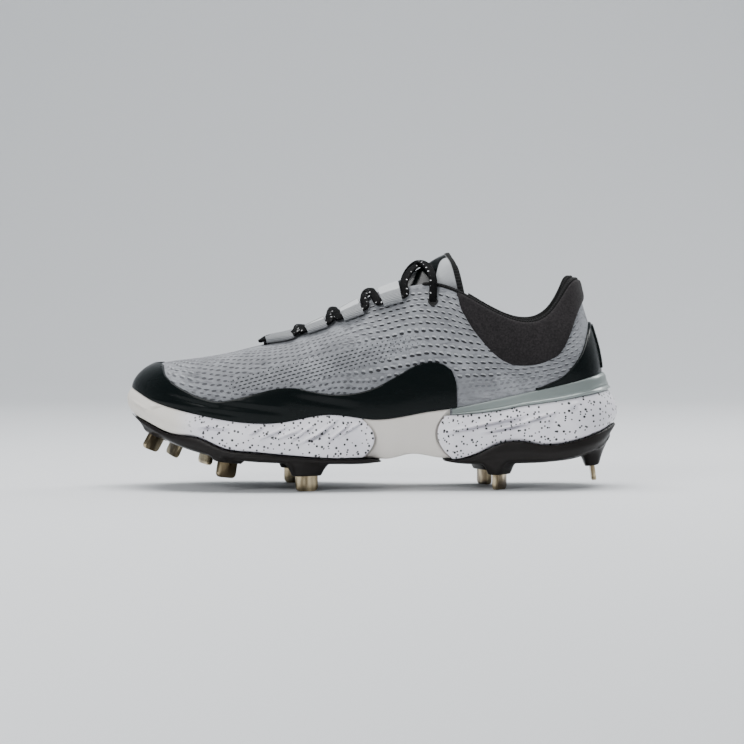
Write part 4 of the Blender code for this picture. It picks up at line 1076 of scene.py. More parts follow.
def refine(points, count):
    """A smooth line through points, made finer along the first axis."""
    points = np.asarray(points, float)
    slopes = np.gradient(points, axis=0)
    t = np.linspace(0, len(points) - 1, count)
    i = np.minimum(t.astype(int), len(points) - 2)
    f = (t - i).reshape(-1, *[1] * (points.ndim - 1))
    return cubic(f, points[i], points[i + 1], slopes[i], slopes[i + 1])


TONGUE_SIDE = (0.74, 0.87)  # how far up the wall its points under the upper stand
TONGUE_ARCH = (-75, -50, -25, 0, 25, 50, 75)  # where its free rows' points stand, in degrees
TONGUE_TUCK = 0.010  # how much deeper their side points go
TONGUE_BOUND = 0.0030  # width of the binding
PATCH_START = 0.835  # height of the crest where the dark patch starts
PATCH_HALF = 0.36  # its half width, as a share of the tongue's


def tongue_rows():
    """The tongue's top as rows of seven points, with a thickness for each row."""
    rows = []
    for u, v_edge, crest, rise, thick in TONGUE_UNDER:
        depth = -(UPPER_WALL + 2 * SKIN_GAP)
        lateral = [layer(u, v, depth) for v in (*TONGUE_SIDE, v_edge)]
        medial = [layer(ROUND - u, v, depth) for v in (v_edge, *TONGUE_SIDE[::-1])]
        middle = (lateral[2][1] + medial[0][1]) / 2
        top = np.array([float(place(crest)), middle, rise * HEIGHT])
        rows.append((lateral + [top] + medial, thick))
    centre = rows[-1][0][3][1]
    widest = math.radians(TONGUE_ARCH[-1])
    for crest, rise, half, fall, run, thick in TONGUE_FREE:
        arch = []
        for angle in TONGUE_ARCH:
            a = math.radians(angle)
            drop = (1 - math.cos(a)) / (1 - math.cos(widest))
            arch.append(np.array([
                float(place(crest + run * drop)),
                centre + half * BALL_WIDTH * math.sin(a) / math.sin(widest),
                (rise - fall * drop) * HEIGHT - (TONGUE_TUCK if a in (widest, -widest) else 0.0),
            ]))
        rows.append((arch, thick))
    return rows


def tongue(look):
    """The padded tongue, bound round its free edge, with a plain patch along its top."""
    rows = tongue_rows()
    top = np.array([points for points, thick in rows])
    thick = np.array([thick for points, thick in rows]) * TONGUE
    long_count, wide_count = 190, 64
    top = refine(top, long_count)
    thick = refine(thick, long_count)
    top = refine(top.transpose(1, 0, 2), wide_count).transpose(1, 0, 2)
    along = np.gradient(top, axis=0)
    across = np.gradient(top, axis=1)
    down = np.cross(along, across)
    down /= np.linalg.norm(down, axis=2)[:, :, None]
    down *= np.where(down[:, :, 2:3] > 0, -1, 1)
    side = np.linspace(-1, 1, wide_count)
    profile = 0.30 + 0.70 * np.sqrt(1 - np.abs(side) ** 6)
    run = run_along(top)
    to_end = run[-1] - run
    lift = rounded(to_end, 0.0022) - 1
    bound = 1 - smooth((to_end - TONGUE_BOUND) / 0.0004)
    deep = thick[:, None] * profile[None, :]
    surface = top + down * (-lift * 0.9e-3 - bound * 0.0004)[..., None]
    bottom = top + down * (deep * (1 + lift * 0.5))[..., None]
    sections = np.concatenate([surface, bottom[:, ::2][:, ::-1]], axis=1)
    rise = top[..., 2] / HEIGHT
    low = 1 - smooth((rise - 0.80) / 0.10)
    crest = top[:, wide_count // 2 - 1:wide_count // 2, 2] / HEIGHT
    patch_at = smooth((crest - PATCH_START) / 0.010) * (1 - bound)
    patch_at = patch_at * (1 - smooth((np.abs(side) - PATCH_HALF) / 0.03))
    other = np.zeros((long_count, (wide_count + 1) // 2))
    fields = {"low": np.concatenate([low, other], axis=1),
              "patch": np.concatenate([patch_at, other], axis=1),
              "bound": np.concatenate([bound, bound[:, ::2]], axis=1)}
    made = loft("tongue_knit", sections, uv=arc_uv(sections), fields=fields, sharp=70)
    piece(made, look, "knit_grey", "tongue")


def insole(look):
    """The footbed, from the heel to the toe."""
    sections = []
    for t in spaced(0, 1, 90):
        ring = []
        for side in (1, -1):
            u = t * TOE if side == 1 else ROUND - t * TOE
            edge = last(u, 0.0) - plan_normal(u) * (UPPER_WALL + 2 * SKIN_GAP)
            z = height("bed", edge[0])
            points = [(edge[0], edge[1], z + rise * INSOLE) for rise in (0, 0.4, 0.8, 1.0)]
            ring += points if side == 1 else points[::-1]
        sections.append(ring)
    made = loft("insole_foam", sections, cap=None, tips=[0, -1])
    piece(made, look, "charcoal_cloth", "insole")


# The sole

POD_GROOVES = (
    # place and height shares at both ends, depth, width
    (0.257, 0.238, 0.287, 0.268, 0.00154, 0.0007),
    (0.277, 0.217, 0.334, 0.268, 0.00182, 0.0008),
    (0.310, 0.217, 0.365, 0.259, 0.00182, 0.0008),
    (0.336, 0.204, 0.391, 0.280, 0.00196, 0.0009),
    (0.351, 0.191, 0.416, 0.259, 0.00196, 0.0009),
    (0.377, 0.212, 0.436, 0.297, 0.00196, 0.0009),
    (0.412, 0.204, 0.459, 0.280, 0.00182, 0.0008),
    (0.434, 0.225, 0.485, 0.289, 0.00168, 0.0008),
    (0.155, 0.259, 0.188, 0.276, 0.00140, 0.0007),
    (0.157, 0.268, 0.218, 0.259, 0.00140, 0.0007),
    (0.053, 0.340, 0.080, 0.353, 0.00098, 0.0007),
    (0.010, 0.365, 0.045, 0.330, 0.00070, 0.0008),
    (0.650, 0.238, 0.811, 0.310, 0.00294, 0.0009),
    (0.720, 0.238, 0.809, 0.276, 0.00266, 0.0008),
    (0.773, 0.259, 0.873, 0.327, 0.00266, 0.0008),
    (0.852, 0.290, 0.870, 0.303, 0.00168, 0.0015),
    (0.898, 0.342, 0.918, 0.352, 0.00154, 0.0015),
    (0.800, 0.270, 0.822, 0.280, 0.00140, 0.0011),
)


def plan_normal(u):
    """Plan normals, pointing out, of the feather line at stations u."""
    along = last(u + 0.02, FEATHER) - last(u - 0.02, FEATHER)
    out = np.stack([-along[..., 1], along[..., 0], np.zeros(np.shape(u))], axis=-1)
    return out / np.linalg.norm(out, axis=-1)[..., None]


def side_station(u):
    """The station of the table's side, lateral or medial, that u stands at."""
    u = np.mod(u, ROUND)
    return np.minimum(u, ROUND - u)


POD_LINES = [table_line(POD_SIDE, j) for j in range(1, len(SIDE_LEVELS) + 1)]
BAND_LINE = table_line(BAND_EDGE)


def rim_share(u, under_band):
    """How far up the last's columns the midsole's lip lies."""
    if not under_band:
        return np.full(np.shape(u), FEATHER)
    bed, feather = last(u, 0.0), last(u, FEATHER)
    lip = BAND_LINE(share_of(feather[..., 0])) * HEIGHT
    share = (lip - bed[..., 2]) / (feather[..., 2] - bed[..., 2])
    return FEATHER * np.clip(share, 0.2, 1.0)


def stand_at(u, share, kind):
    """How far the sole's side stands out at a share of the way down it."""
    u, share = np.broadcast_arrays(u, share)
    if kind == "arch":
        values = np.array(ARCH_SIDE)[:, None] * np.ones(u.size)
    else:
        values = np.stack([line(side_station(u.ravel())) for line in POD_LINES])
    slopes = np.gradient(values, SIDE_LEVELS, axis=0)
    s = share.ravel()
    i = np.clip(np.searchsorted(SIDE_LEVELS, s, side="right") - 1, 0, len(SIDE_LEVELS) - 2)
    low = np.take(SIDE_LEVELS, i)
    step = np.take(SIDE_LEVELS, i + 1) - low
    f = (s - low) / step
    n = np.arange(u.size)
    stand = cubic(f, values[i, n], values[i + 1, n], slopes[i, n] * step, slopes[i + 1, n] * step)
    return stand.reshape(u.shape) * SOLE_BULGE


def side_at(u, share, kind, relief=0.0):
    """Points of the sole's outer side."""
    u, share = np.broadcast_arrays(np.asarray(u, float), np.asarray(share, float))
    stand = stand_at(u, share, kind) + relief
    point = last(u, FEATHER) + plan_normal(u) * stand[..., None]
    lip = last(u, rim_share(u, kind == "heel"))[..., 2]
    foot = height("bottom", point[..., 0])
    point[..., 2] = lip + (foot - lip) * share
    return point


def seam_place(seam, z, shift):
    """X of a seam at height z: an arc that bows between the sole's top and bottom."""
    end, middle, low, high = seam
    t = np.clip((z / HEIGHT - low) / (high - low), 0, 1)
    return place(end + (middle - end) * 4 * t * (1 - t)) + shift


def seam_start(shares, kind, seam, shift, low, high):
    """The station where the sole's side meets a seam, for each share of the way down."""
    def ahead(u):
        point = side_at(u, shares, kind)
        return point[..., 0] - seam_place(seam, point[..., 2], shift)
    rising = ahead(np.full(len(shares), high))[0] > ahead(np.full(len(shares), low))[0]
    sign = 1 if rising else -1
    return solve(lambda u: sign * ahead(u), np.full(len(shares), low), np.full(len(shares), high))


FINE_STATIONS = np.linspace(0, ROUND, 801)
FINE_RUN = run_along(last(FINE_STATIONS, FEATHER))
EDGE_ROUNDING = 0.0012  # radius of a foam block's rounded edges
SEAM_DIP = 0.0009
BORDER_DIP = 0.0007
SIDE_RISE = 0.022  # metres down the foam's side
SIDE_ROWS = 60
RUN_ROW = 28  # the row of the side along which a block's length is measured


def foam(name, look, slot, node, kind, start, end, columns, seams, grooves=()):
    """A foam block of the midsole: its finely modelled sides, its lip and its seat.

    start and end take shares of the way down and a side, 1 or -1, and give stations;
    seams says which ends are rounded into a seam.
    """
    shares = np.linspace(1, 0, SIDE_ROWS)
    t = spaced(0, 1, columns, 0.2)[:, None]
    halves, half_uvs = [], []
    for side in (1, -1):
        first, final = start(shares, side), end(shares, side)
        u = first + (final - first) * t
        flat = side_at(u, shares, kind)
        run = run_along(flat[:, RUN_ROW])[:, None]
        near = np.full(run.shape, 1.0)
        if seams[0]:
            near = np.minimum(near, run)
        if seams[1]:
            near = np.minimum(near, run[-1] - run)
        relief = strokes(flat[..., 0], flat[..., 2], grooves, lip=0.8)
        relief -= SEAM_DIP * (1 - rounded(near, EDGE_ROUNDING))
        edges = np.minimum(shares, 1 - shares) * SIDE_RISE
        relief -= BORDER_DIP * (1 - rounded(edges, EDGE_ROUNDING))
        points = side_at(u, shares, kind, relief)
        edge_u = u[:, -1:]
        rim = rim_share(edge_u, kind == "heel")
        over = np.linspace(0.12, 1, 6)
        lip = last(np.repeat(edge_u, 6, axis=1), rim * (1 - over))
        lip += plan_normal(edge_u) * SKIN_GAP
        keel = last(u[:, :1], FEATHER) - plan_normal(u[:, :1]) * KEEL_INSET
        keel[..., 2] = height("keel", keel[..., 0])
        seat = last(edge_u, 0.0) - plan_normal(edge_u) * KEEL_INSET * 0.7
        seat[..., 2] = height("bed", seat[..., 0]) - SKIN_GAP
        half = np.concatenate([keel, points, lip, seat], axis=1)
        run_at = np.interp(np.concatenate([u[:, :1], u, np.repeat(edge_u, 7, axis=1)], axis=1),
                           FINE_STATIONS, FINE_RUN)
        half_uv = np.stack([run_at, half[..., 2]], axis=2)
        halves.append(half if side == 1 else half[:, ::-1])
        half_uvs.append(half_uv if side == 1 else half_uv[:, ::-1])
    sections = np.concatenate(halves, axis=1)
    uv = np.concatenate(half_uvs + [half_uvs[0][:, :1]], axis=1)
    n = halves[0].shape[1]
    cap = [range(n), range(n, 2 * n), (0, n - 1, n, 2 * n - 1)]
    tips = [] if seams[1] else [-1]
    made = loft(name, sections, cap=cap, tips=tips, uv=uv, sharp=55)
    piece(made, look, slot, node)


def level_station(station):
    """An end of a foam block at one station on both sides."""
    def stations(shares, side):
        return np.full(len(shares), float(station if side == 1 else ROUND - station))
    return stations


def level_seam(kind, seam, shift, low, high):
    """An end of a foam block at a seam."""
    def stations(shares, side):
        ends = (low, high) if side == 1 else (ROUND - high, ROUND - low)
        return seam_start(shares, kind, seam, shift, *ends)
    return stations


def midsole(looks):
    """The three foam blocks, with a fine gap at both seams."""
    foam("forefoot_foam", looks["speckled"], "speckled_foam", "midsole_forefoot", "pod",
         level_seam("pod", FRONT_SEAM, -SKIN_GAP, 5.0, 12.0), level_station(TOE), 420,
         (True, False), POD_GROOVES)
    foam("arch_foam", looks["beige"], "beige_foam", "midsole_arch", "arch",
         level_seam("arch", REAR_SEAM, -SKIN_GAP, 4.0, 9.0),
         level_seam("arch", FRONT_SEAM, SKIN_GAP, 5.0, 12.0), 90, (True, True))
    foam("heel_foam", looks["heel"], "speckled_foam", "midsole_heel", "heel",
         level_seam("heel", REAR_SEAM, SKIN_GAP, 4.0, 9.0), level_station(0), 320,
         (True, False), POD_GROOVES)


BAND_WALL = 0.0011  # how far it would stand off the last where its section says 0
BAND_SECTION = (
    # share of the way up, how far it stands out as a share of the midsole's lip
    (0.0, 0.95), (0.12, 1.05), (0.5, 0.72), (0.9, 0.42), (1.0, 0.22),
)
BAND_BEADS = (
    # height in metres, share of the way up, half width
    (0.0005, 0.13, 0.07),
    (-0.0004, 0.27, 0.05),
)


def heel_band(look):
    """The moulded band round the heel, with a bead along its lower edge."""
    start = station_at(place(0.661), FEATHER, 5.0, 8.0)
    u = spaced(-start, start, 241, 0.0)
    lip = rim_share(u, True)
    out_low = POD_LINES[0](side_station(u)) * SOLE_BULGE
    shares = np.linspace(0, 1, 26)
    stands = table_line(BAND_SECTION)(shares)
    bead = sum(rise * np.exp(-((shares - at) / half) ** 2) for rise, at, half in BAND_BEADS)
    low_z = last(u, lip)[:, 2] + GAP
    high_z = last(u, FEATHER)[:, 2]
    sections = []
    for share, stand, raised in zip(shares, stands, bead):
        out = BAND_WALL + (out_low - BAND_WALL) * stand + raised
        if share in (0.0, 1.0):
            out -= GAP
        point = last(u, FEATHER) + plan_normal(u) * out[:, None]
        point[:, 2] = low_z + (high_z - low_z) * share
        sections.append(point)
    for share in (1.0, 0.66, 0.33, 0.0):
        point = last(u, lip + (FEATHER - lip) * share) + plan_normal(u) * SKIN_GAP
        point[:, 2] += GAP * (1 - share)
        sections.append(point)
    sections = np.stack(sections, axis=1)
    made = loft("heel_band_shell", sections, cap=None)
    piece(made, look, "silver_band", "heel_band")


PLATE_BULGE = 0.0005
PLATE_CHAMFER = 0.0016


def plate_ring(u):
    """The plate's section at stations u: from its top over the rounded edge to its bottom."""
    edge = side_at(u, 1.0, "pod")
    out = plan_normal(u)
    top = last(u, FEATHER) - out * KEEL_INSET
    top[..., 2] = height("keel", top[..., 0]) - FACET_GAP
    lip = edge.copy()
    lip[..., 2] -= FACET_GAP
    low = height("plate", edge[..., 0])
    high = lip[..., 2]
    side = edge + out * PLATE_BULGE
    side[..., 2] = (low + high) / 2
    under = edge - out * PLATE_CHAMFER
    under[..., 2] = low + (high - low) * 0.12
    bottom = last(u, FEATHER) - out * KEEL_INSET * 0.4
    bottom[..., 2] = height("plate", bottom[..., 0]) - GAP
    return [top, lip, side, under, bottom]


def spike_frame(row):
    """Where a spike stands: its tip on z = 0 of this frame, its blade along X."""
    along, side, lift, turn, pitch = row[1:]
    spot = Matrix.Translation((float(place(along)), side * BALL_WIDTH, lift * HEIGHT))
    lean = Matrix.Rotation(math.radians(pitch), 4, "Y")
    return spot @ lean @ Matrix.Rotation(math.radians(turn), 4, "Z")


def oval(power, count=28):
    """Corners of a rounded square of half side 1."""
    angles = np.arange(count) * 2 * math.pi / count
    c, s = np.cos(angles), np.sin(angles)
    size = (np.abs(c) ** power + np.abs(s) ** power) ** (-1 / power)
    return np.stack([c * size, s * size], axis=1)


def plate_sides():
    """The outsole's outline in plan: X, then Y of the lateral and the medial edge."""
    u = np.linspace(0, TOE, 121)
    lateral, medial = side_at(u, 1.0, "pod"), side_at(ROUND - u, 1.0, "pod")
    x = lateral[::-1, 0]
    y = np.interp(x, medial[::-1, 0], medial[::-1, 1])
    return x, lateral[::-1, 1], y


BOSS_INSET = 0.003  # from the plate's ends
BOSS_ROOM = 0.97  # share of the plate's half width that a skirt may take


def boss(row, outline):
    """The flared block that carries a spike, its skirt fading into the plate."""
    frame_at = spike_frame(row)
    foot_wide, foot_thick = BOSS_FOOT
    skirt_wide, skirt_thick = BOSS_SKIRT
    edge_x, lateral, medial = outline
    sections = []
    for t in np.linspace(0, 1, 14):
        flare = 0.35 * t + 0.65 * t**4
        wide = (foot_wide + (skirt_wide - foot_wide) * flare) * SPIKE_WIDTH / 2
        thick = (foot_thick + (skirt_thick - foot_thick) * flare) * SPIKE_THICKNESS / 2
        ring = []
        for x, y in oval(4.5 - 2.4 * t):
            point = frame_at @ Vector((x * wide, y * thick, SPIKE_HEIGHT + GAP))
            point.x = min(max(point.x, edge_x[0] + BOSS_INSET), edge_x[-1] - BOSS_INSET)
            low, high = (np.interp(point.x, edge_x, side) * BOSS_ROOM for side in (lateral, medial))
            point.y = min(max(point.y, low), high)
            root = float(0.6 * height("plate", point.x) + 0.4 * height("keel", point.x))
            point.z += (root - point.z) * min(1.0, 1.25 * t)
            ring.append(point)
        sections.append(ring)
    return loft("boss", sections, cap=None)


PLATE_VOXEL = 0.0008
PLATE_SOFTENING = 6


def plate(name, node, look, seam, low, high, last_station, rows):
    """An outsole plate and its spikes' bosses, fused and smoothed."""
    start = station_at(place(seam), FEATHER, low, high)
    sections = []
    for t in spaced(0, 1, 170, 0.0):
        u = start + (last_station - start) * t
        other = plate_ring(ROUND - u if last_station else -u)
        sections.append(plate_ring(u) + other[::-1])
    n = 5
    cap = [range(n), range(n, 2 * n), (0, n - 1, n, 2 * n - 1)]
    made = loft(name, sections, cap=cap, tips=[-1])
    outline = plate_sides()
    parts = [made] + [boss(row, outline) for row in rows]
    with bpy.context.temp_override(active_object=made, selected_editable_objects=parts):
        bpy.ops.object.join()
    voxels = made.modifiers.new("skin", "REMESH")
    voxels.mode = "VOXEL"
    voxels.voxel_size = PLATE_VOXEL
    soften = made.modifiers.new("soft", "SMOOTH")
    soften.factor = 0.5
    soften.iterations = PLATE_SOFTENING
    evaluated = made.evaluated_get(bpy.context.evaluated_depsgraph_get())
    mesh = bpy.data.meshes.new_from_object(evaluated)
    made.modifiers.clear()
    made.data = mesh
    mesh.shade_smooth()
    piece(made, look, "black_plate", node)


SPIKE_BEVEL = 0.0004
SPIKE_CORNER = 0.2  # radius of its lower corners, as a share of its width
SPIKE_ROOT = 0.001  # how far it goes into its boss


def spike(row, look):
    """A blade with rounded lower corners and bevelled edges."""
    frame_at = spike_frame(row)
    half, thick = SPIKE_WIDTH / 2, SPIKE_THICKNESS / 2
    radius, bevel = SPIKE_WIDTH * SPIKE_CORNER, SPIKE_BEVEL
    edge = ((thick, bevel), (thick - bevel * 0.3, bevel * 0.3), (thick - bevel, 0))
    sections = []
    for y, cut in [(-y, cut) for y, cut in edge] + list(edge[::-1]):
        outline = [(-half + cut, SPIKE_HEIGHT + SPIKE_ROOT)]
        for centre, first in ((-half + radius, 180), (half - radius, 270)):
            for step in range(10):
                angle = math.radians(first + 10 * step)
                reach = radius - cut
                outline.append((centre + reach * math.cos(angle), radius + reach * math.sin(angle)))
        outline.append((half - cut, SPIKE_HEIGHT + SPIKE_ROOT))
        sections.append([frame_at @ Vector((x, y, z)) for x, z in outline])
    made = loft("blade_" + row[0], sections, cap=None, sharp=35)
    piece(made, look, "spike_steel", "spike_" + row[0])


# Loops and laces

def throat_way(u):
    """Steps in station and share up the wall that lead square off the throat's edge,
    for each metre, with the metres of edge to a station."""
    du, dv = 0.05, 0.02
    along = (last(u + du, 1.0) - last(u - du, 1.0)) / (2 * du)
    up = (last(u, 1.0) - last(u, 1.0 - dv)) / dv
    over = up - along * (up @ along) / (along @ along)
    over /= np.linalg.norm(over)
    steps = np.linalg.lstsq(np.stack([along, up], axis=1), over, rcond=None)[0]
    return steps, over, np.linalg.norm(along)


def throat_point(u, over, lift):
    """A point near the throat's edge: over it into the throat, or down the wall where
    over is negative, and lifted off the wall."""
    steps, way = throat_way(u)[:2]
    down = min(over, 0.0)
    point = layer(u + steps[0] * down, 1.0 + steps[1] * down, lift)
    return point + way * max(over, 0.0)


EYE_HALF = LACE_WIDTH / 2 + FACET_GAP + WEBBING
EYE_RISE = LACE_THICKNESS / 2 + SKIN_GAP + WEBBING
EYE_LIFT = EYE_RISE + SKIN_GAP


LOOP_OVER = (
    # its upper layer, then its lower one: share of LOOP_REACH over the edge, height
    (1.0, 0.0018), (0.4, 0.0023), (-0.2, 0.0027),
)
LOOP_UNDER = ((-0.4, 0.0008), (0.3, 0.0008), (1.0, 0.0008))


def lace_loop(node, u, look):
    """A webbing loop: folded round the lace, its two layers run up over the edge."""
    half = LOOP_WIDTH / 2 / throat_way(u)[2]
    a, b = EYE_HALF - WEBBING / 2, EYE_RISE - WEBBING / 2
    path = [(LOOP_REACH * share, lift) for share, lift in LOOP_OVER]
    for angle in range(60, 301, 20):
        c, s = math.cos(math.radians(angle)), math.sin(math.radians(angle))
        path.append((c * a - LOOP_DROP, EYE_LIFT + s * b))
    path += [(LOOP_REACH * share, lift) for share, lift in LOOP_UNDER]
    path = refine(path, 46)
    way = np.gradient(path, axis=0)
    way /= np.linalg.norm(way, axis=1)[:, None]
    side = np.stack([-way[:, 1], way[:, 0]], axis=1) * WEBBING / 2
    ring = np.concatenate([path + side, (path - side)[::-1]])
    sections = []
    for share in np.linspace(-1, 1, 13):
        shrink = 0.94 if abs(share) == 1 else 1.0
        loop = np.concatenate([path + side * shrink, (path - side * shrink)[::-1]])
        sections.append([throat_point(u + share * half, over, lift) for over, lift in loop])
    ribbed = 1 - smooth((ring[:, 0] + LOOP_REACH * 0.35) / 0.0008)
    sections = np.array(sections)
    made = loft(node + "_webbing", sections, uv=arc_uv(sections),
                fields={"ribbed": ribbed[None, :]})
    piece(made, look, "webbing_grey", node)


LACE_STEP = 0.0011
LACE_POINTS = 22
LACE_SWELL = 0.10  # how much its flat sides swell and sink, as a share of its thickness
LACE_SWELL_RUN = 0.0016  # length of one swell


def tube(path, ups):
    """Sections of a flat lace along a smooth path; ups are its flat side's normals."""
    path, ups = np.array(path), np.array(ups)
    t = run_along(path)
    fine = np.linspace(0, t[-1], max(8, round(t[-1] / LACE_STEP)))
    curve = np.stack([hermite(t, path[:, k])(fine) for k in range(3)], axis=1)
    up = np.stack([hermite(t, ups[:, k])(fine) for k in range(3)], axis=1)
    along = np.gradient(curve, fine, axis=0)
    along /= np.linalg.norm(along, axis=1)[:, None]
    wide = np.cross(along, up)
    wide /= np.linalg.norm(wide, axis=1)[:, None]
    up = np.cross(wide, along)
    ring = []
    for x, y in oval(2.6, LACE_POINTS):
        swell = 1 + LACE_SWELL * np.sin(fine / LACE_SWELL_RUN * math.pi + x * 2)
        ring.append(curve + wide * x * LACE_WIDTH / 2
                    + up * (y * swell)[:, None] * LACE_THICKNESS / 2)
    return np.stack(ring, axis=1)


def lace(name, path, ups, look, nodes):
    """One run of lace along a path."""
    sections = tube(path, ups)
    made = loft(name, sections, uv=arc_uv(sections), cap=None)
    piece(made, look, "black_lace", *nodes)


def loop_run(u, way):
    """A lace's run from the middle of a loop's eye straight out of it and up to the
    throat's edge, with its flat side's normals; way is 1 towards the heel, -1 the toe."""
    side = -way if u < TOE else way
    reach = LOOP_WIDTH / 2 / throat_way(u)[2]
    back = throat_point(u - side * reach, -LOOP_DROP, EYE_LIFT)
    front = throat_point(u + side * reach, -LOOP_DROP, EYE_LIFT)
    path = [back + (front - back) * t for t in (0.5 + 2 * GAP / LOOP_WIDTH, 1.0, 1.15)]
    path.append(throat_point(u + side * reach * 1.5, 0.0, EYE_LIFT))
    flats = []
    for station in (u, u + side * reach, u + side * reach):
        steps = throat_way(station)[0]
        flats.append(normal(station - steps[0] * LOOP_DROP, 1.0 - steps[1] * LOOP_DROP))
    return path, flats + [normal(u + side * reach, 1.0)]


def over_tongue(points, lift):
    """The middle of these points, raised to lie on the tongue's crest."""
    middle = np.mean(points, axis=0)
    rows = [row[2:4] for row in TONGUE_UNDER] + [row[:2] for row in TONGUE_FREE]
    crest = np.interp(share_of(middle[0]), *zip(*rows)) * HEIGHT
    middle[2] = crest + LACE_THICKNESS / 2 + 2 * SKIN_GAP + lift
    return middle


UNDER_OVER = (0.0, LACE_THICKNESS * 0.9)
BAR_LIFT = 0.0012  # how far the first bar stands off the tongue
BAR_ENDS = 0.0016  # and its ends off the throat's edge


def lace_crossing(number, front, back, look):
    """The two runs of lace that cross over the tongue between two pairs of loops."""
    for flip, lift in zip((False, True), UNDER_OVER):
        a, a_up = loop_run(ROUND - front if flip else front, 1)
        b, b_up = loop_run(back if flip else ROUND - back, -1)
        mouths = [loop_run(u, way)[0][-1] for u, way in
                  ((front, 1), (ROUND - front, 1), (back, -1), (ROUND - back, -1))]
        path = a + [over_tongue(mouths, lift)] + b[::-1]
        lace("lace_run_%d_%d" % (number, flip), path, a_up + [UP] + b_up[::-1], look,
             ["lace_crossing_%d" % number])


def lace_bar(u, look):
    """The lace's first bar, across the foot of the throat."""
    a, a_up = loop_run(u, -1)
    b, b_up = loop_run(ROUND - u, -1)
    middle = over_tongue([a[-1], b[-1]], BAR_LIFT)
    for end in (a, b):
        end[-1] = end[-1] + UP * BAR_ENDS
    lace("lace_first_bar", a + [middle] + b[::-1], a_up + [UP] + b_up[::-1], look, ["lace_bar"])


def lace_top(number, u, look):
    """The last crossing, whose ends go down into the top eyelets."""
    station, share = EYELET
    for flip, lift in zip((False, True), UNDER_OVER):
        a, a_up = loop_run(ROUND - u if flip else u, 1)
        b = station if flip else ROUND - station
        v = np.array([share, share + 0.015, (share + 1) / 2 + 0.01, 1.0])
        stand = np.array([-0.0018, 0.0004, LACE_THICKNESS * 0.7, LACE_THICKNESS]) + 2 * SKIN_GAP
        hole = list(layer(b, v, stand))
        out = [normal(b, share)] * 4
        ends = [loop_run(side, 1)[0][-1] for side in (u, ROUND - u)]
        ends += [last(side, 1.0) for side in (station, ROUND - station)]
        path = a + [over_tongue(ends, lift)] + hole[::-1]
        lace("lace_run_%d_%d" % (number, flip), path, a_up + [UP] + out, look,
             ["lace_crossing_%d" % number])


EYELET_RINGS = (
    # radius, height above the knit
    (0.0, 0.0002), (0.0017, 0.0002), (0.0019, 0.0006), (0.0023, 0.0008), (0.0028, 0.0006),
    (0.0031, -0.0002),
)


def eyelet(name, u, look):
    """A punched top eyelet: a low bound ring round a dark hole."""
    origin, out = last(u, EYELET[1]), normal(u, EYELET[1])
    side = np.cross(out, UP)
    side /= np.linalg.norm(side)
    up = np.cross(side, out)
    angles = np.arange(32) * 2 * math.pi / 32
    sections = [[origin + out * lift + (side * math.cos(a) + up * math.sin(a)) * radius
                 for a in angles] for radius, lift in EYELET_RINGS]
    made = loft(name, sections, cap=None, tips=[0])
    piece(made, look, "gloss_black")


# The shoe

def shoe():
    """Every piece of the shoe, over its CAD node."""
    black = gloss_look("gloss_black", (0.0014, 0.0032, 0.0032), 0.22, 0.06)
    matt = Look("eyelet_black", (0.004, 0.004, 0.004), 0.7).made
    cloth = cloth_look("charcoal_cloth", (0.010, 0.009, 0.0095), (0.026, 0.023, 0.024), 900)
    knit = ribbed_look("lining_knit", (0.004, 0.004, 0.004), (0.020, 0.020, 0.020), 0.0016)
    laces = lace_look()
    webbing = webbing_look()
    steel = steel_look()
    plates = plate_look()
    upper(knit_look())
    mudguard(black)
    heel_counter(black)
    heel_stay(black)
    collar_pad(cloth)
    collar_lining(knit)
    collar_binding(knit)
    tongue(tongue_look())
    insole(cloth)
    midsole({
        "speckled": speckled_look("speckled_forefoot", float(place(0.118))),
        "beige": foam_look(),
        "heel": speckled_look("speckled_heel"),
    })
    heel_band(band_look())
    plate("forefoot_plate", "outsole_forefoot", plates, 0.520, 5.0, 12.0, TOE, SPIKES[:6])
    plate("heel_plate", "outsole_heel", plates, 0.644, 5.0, 9.0, 0, SPIKES[6:])
    for row in SPIKES:
        spike(row, steel)
    for number, u in enumerate(LOOP_STATIONS, start=1):
        lace_loop("loop_lateral_%d" % number, u, webbing)
        lace_loop("loop_medial_%d" % number, ROUND - u, webbing)
    lace_bar(LOOP_STATIONS[0], laces)
    pairs = zip(LOOP_STATIONS, LOOP_STATIONS[1:])
    for number, (front, back) in enumerate(pairs, start=1):
        lace_crossing(number, front, back, laces)
    lace_top(len(LOOP_STATIONS), LOOP_STATIONS[-1], laces)
    eyelet("eyelet_lateral", EYELET[0], matt)
    eyelet("eyelet_medial", ROUND - EYELET[0], matt)


# The studio

VIEW_DISTANCE = 2.0
VIEW_RISE = 2.0  # degrees above level
FRAME_WIDTH = 0.452  # metres across the frame at the shoe
AIM = (0.0, 0.0, 0.0699)
LAMPS = (
    # name, place, what it faces, size, watts
    ("top_light", (0.0, 0.1, 1.4), (0, 0, 0), (1.4, 0.8), 34),
    ("front_light", (-0.8, -1.4, 0.9), (0, 0, 0.05), (0.8, 0.5), 17),
    ("back_light", (1.2, 0.9, 0.9), (0, 0, 0.06), (0.5, 0.8), 12),
)
FLOOR_DEPTH = 1.2  # where the floor starts to curve up
FLOOR_CURVE = 0.8


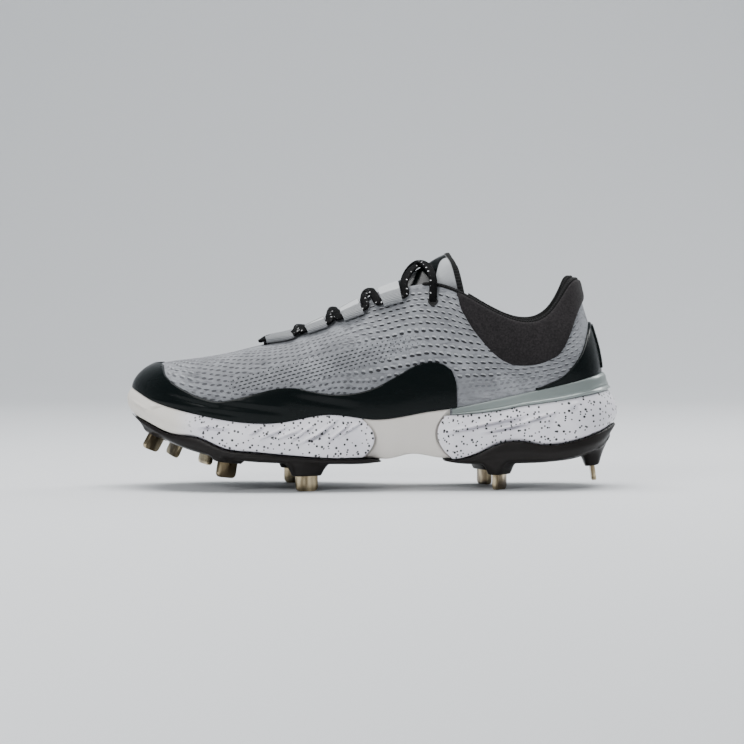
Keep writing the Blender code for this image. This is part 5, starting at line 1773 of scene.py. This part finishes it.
def floor():
    """A pale floor that curves up into a backdrop."""
    profile = [(-3.0, 0.0), (FLOOR_DEPTH, 0.0)]
    for angle in range(10, 91, 10):
        a = math.radians(angle)
        profile.append((FLOOR_DEPTH + FLOOR_CURVE * math.sin(a), FLOOR_CURVE * (1 - math.cos(a))))
    profile.append((FLOOR_DEPTH + FLOOR_CURVE, 4.0))
    points = [(x, y, z) for y, z in profile for x in (-4.0, 4.0)]
    faces = [(2 * i, 2 * i + 1, 2 * i + 3, 2 * i + 2) for i in range(len(profile) - 1)]
    mesh = bpy.data.meshes.new("floor")
    mesh.from_pydata(points, [], faces)
    mesh.shade_smooth()
    mesh.materials.append(Look("floor", (0.72, 0.735, 0.75), 0.6).made)
    made = bpy.data.objects.new("floor", mesh)
    bpy.context.scene.collection.objects.link(made)


def lamp(name, spot, target, size, watts):
    """A soft area light that faces a target."""
    data = bpy.data.lights.new(name, "AREA")
    data.shape = "RECTANGLE"
    data.size, data.size_y = size
    data.energy = watts
    made = bpy.data.objects.new(name, data)
    made.location = spot
    made.rotation_euler = (Vector(target) - Vector(spot)).to_track_quat("-Z", "Y").to_euler()
    bpy.context.scene.collection.objects.link(made)


def studio():
    """Floor, lights, sky and camera."""
    floor()
    for row in LAMPS:
        lamp(*row)
    world = bpy.data.worlds.new("studio")
    world.use_nodes = True
    sky = world.node_tree.nodes["Background"].inputs
    sky["Color"].default_value = (0.80, 0.86, 0.92, 1)
    sky["Strength"].default_value = 0.42
    bpy.context.scene.world = world
    camera = bpy.data.cameras.new("camera")
    camera.sensor_width = 36
    camera.lens = camera.sensor_width * VIEW_DISTANCE / FRAME_WIDTH
    camera.clip_end = 20
    made = bpy.data.objects.new("camera", camera)
    rise = math.radians(VIEW_RISE)
    made.location = Vector(AIM) + Vector((0, -math.cos(rise), math.sin(rise))) * VIEW_DISTANCE
    made.rotation_euler = (math.pi / 2 - rise, 0, 0)
    bpy.context.scene.collection.objects.link(made)
    bpy.context.scene.camera = made


shoe()
studio()
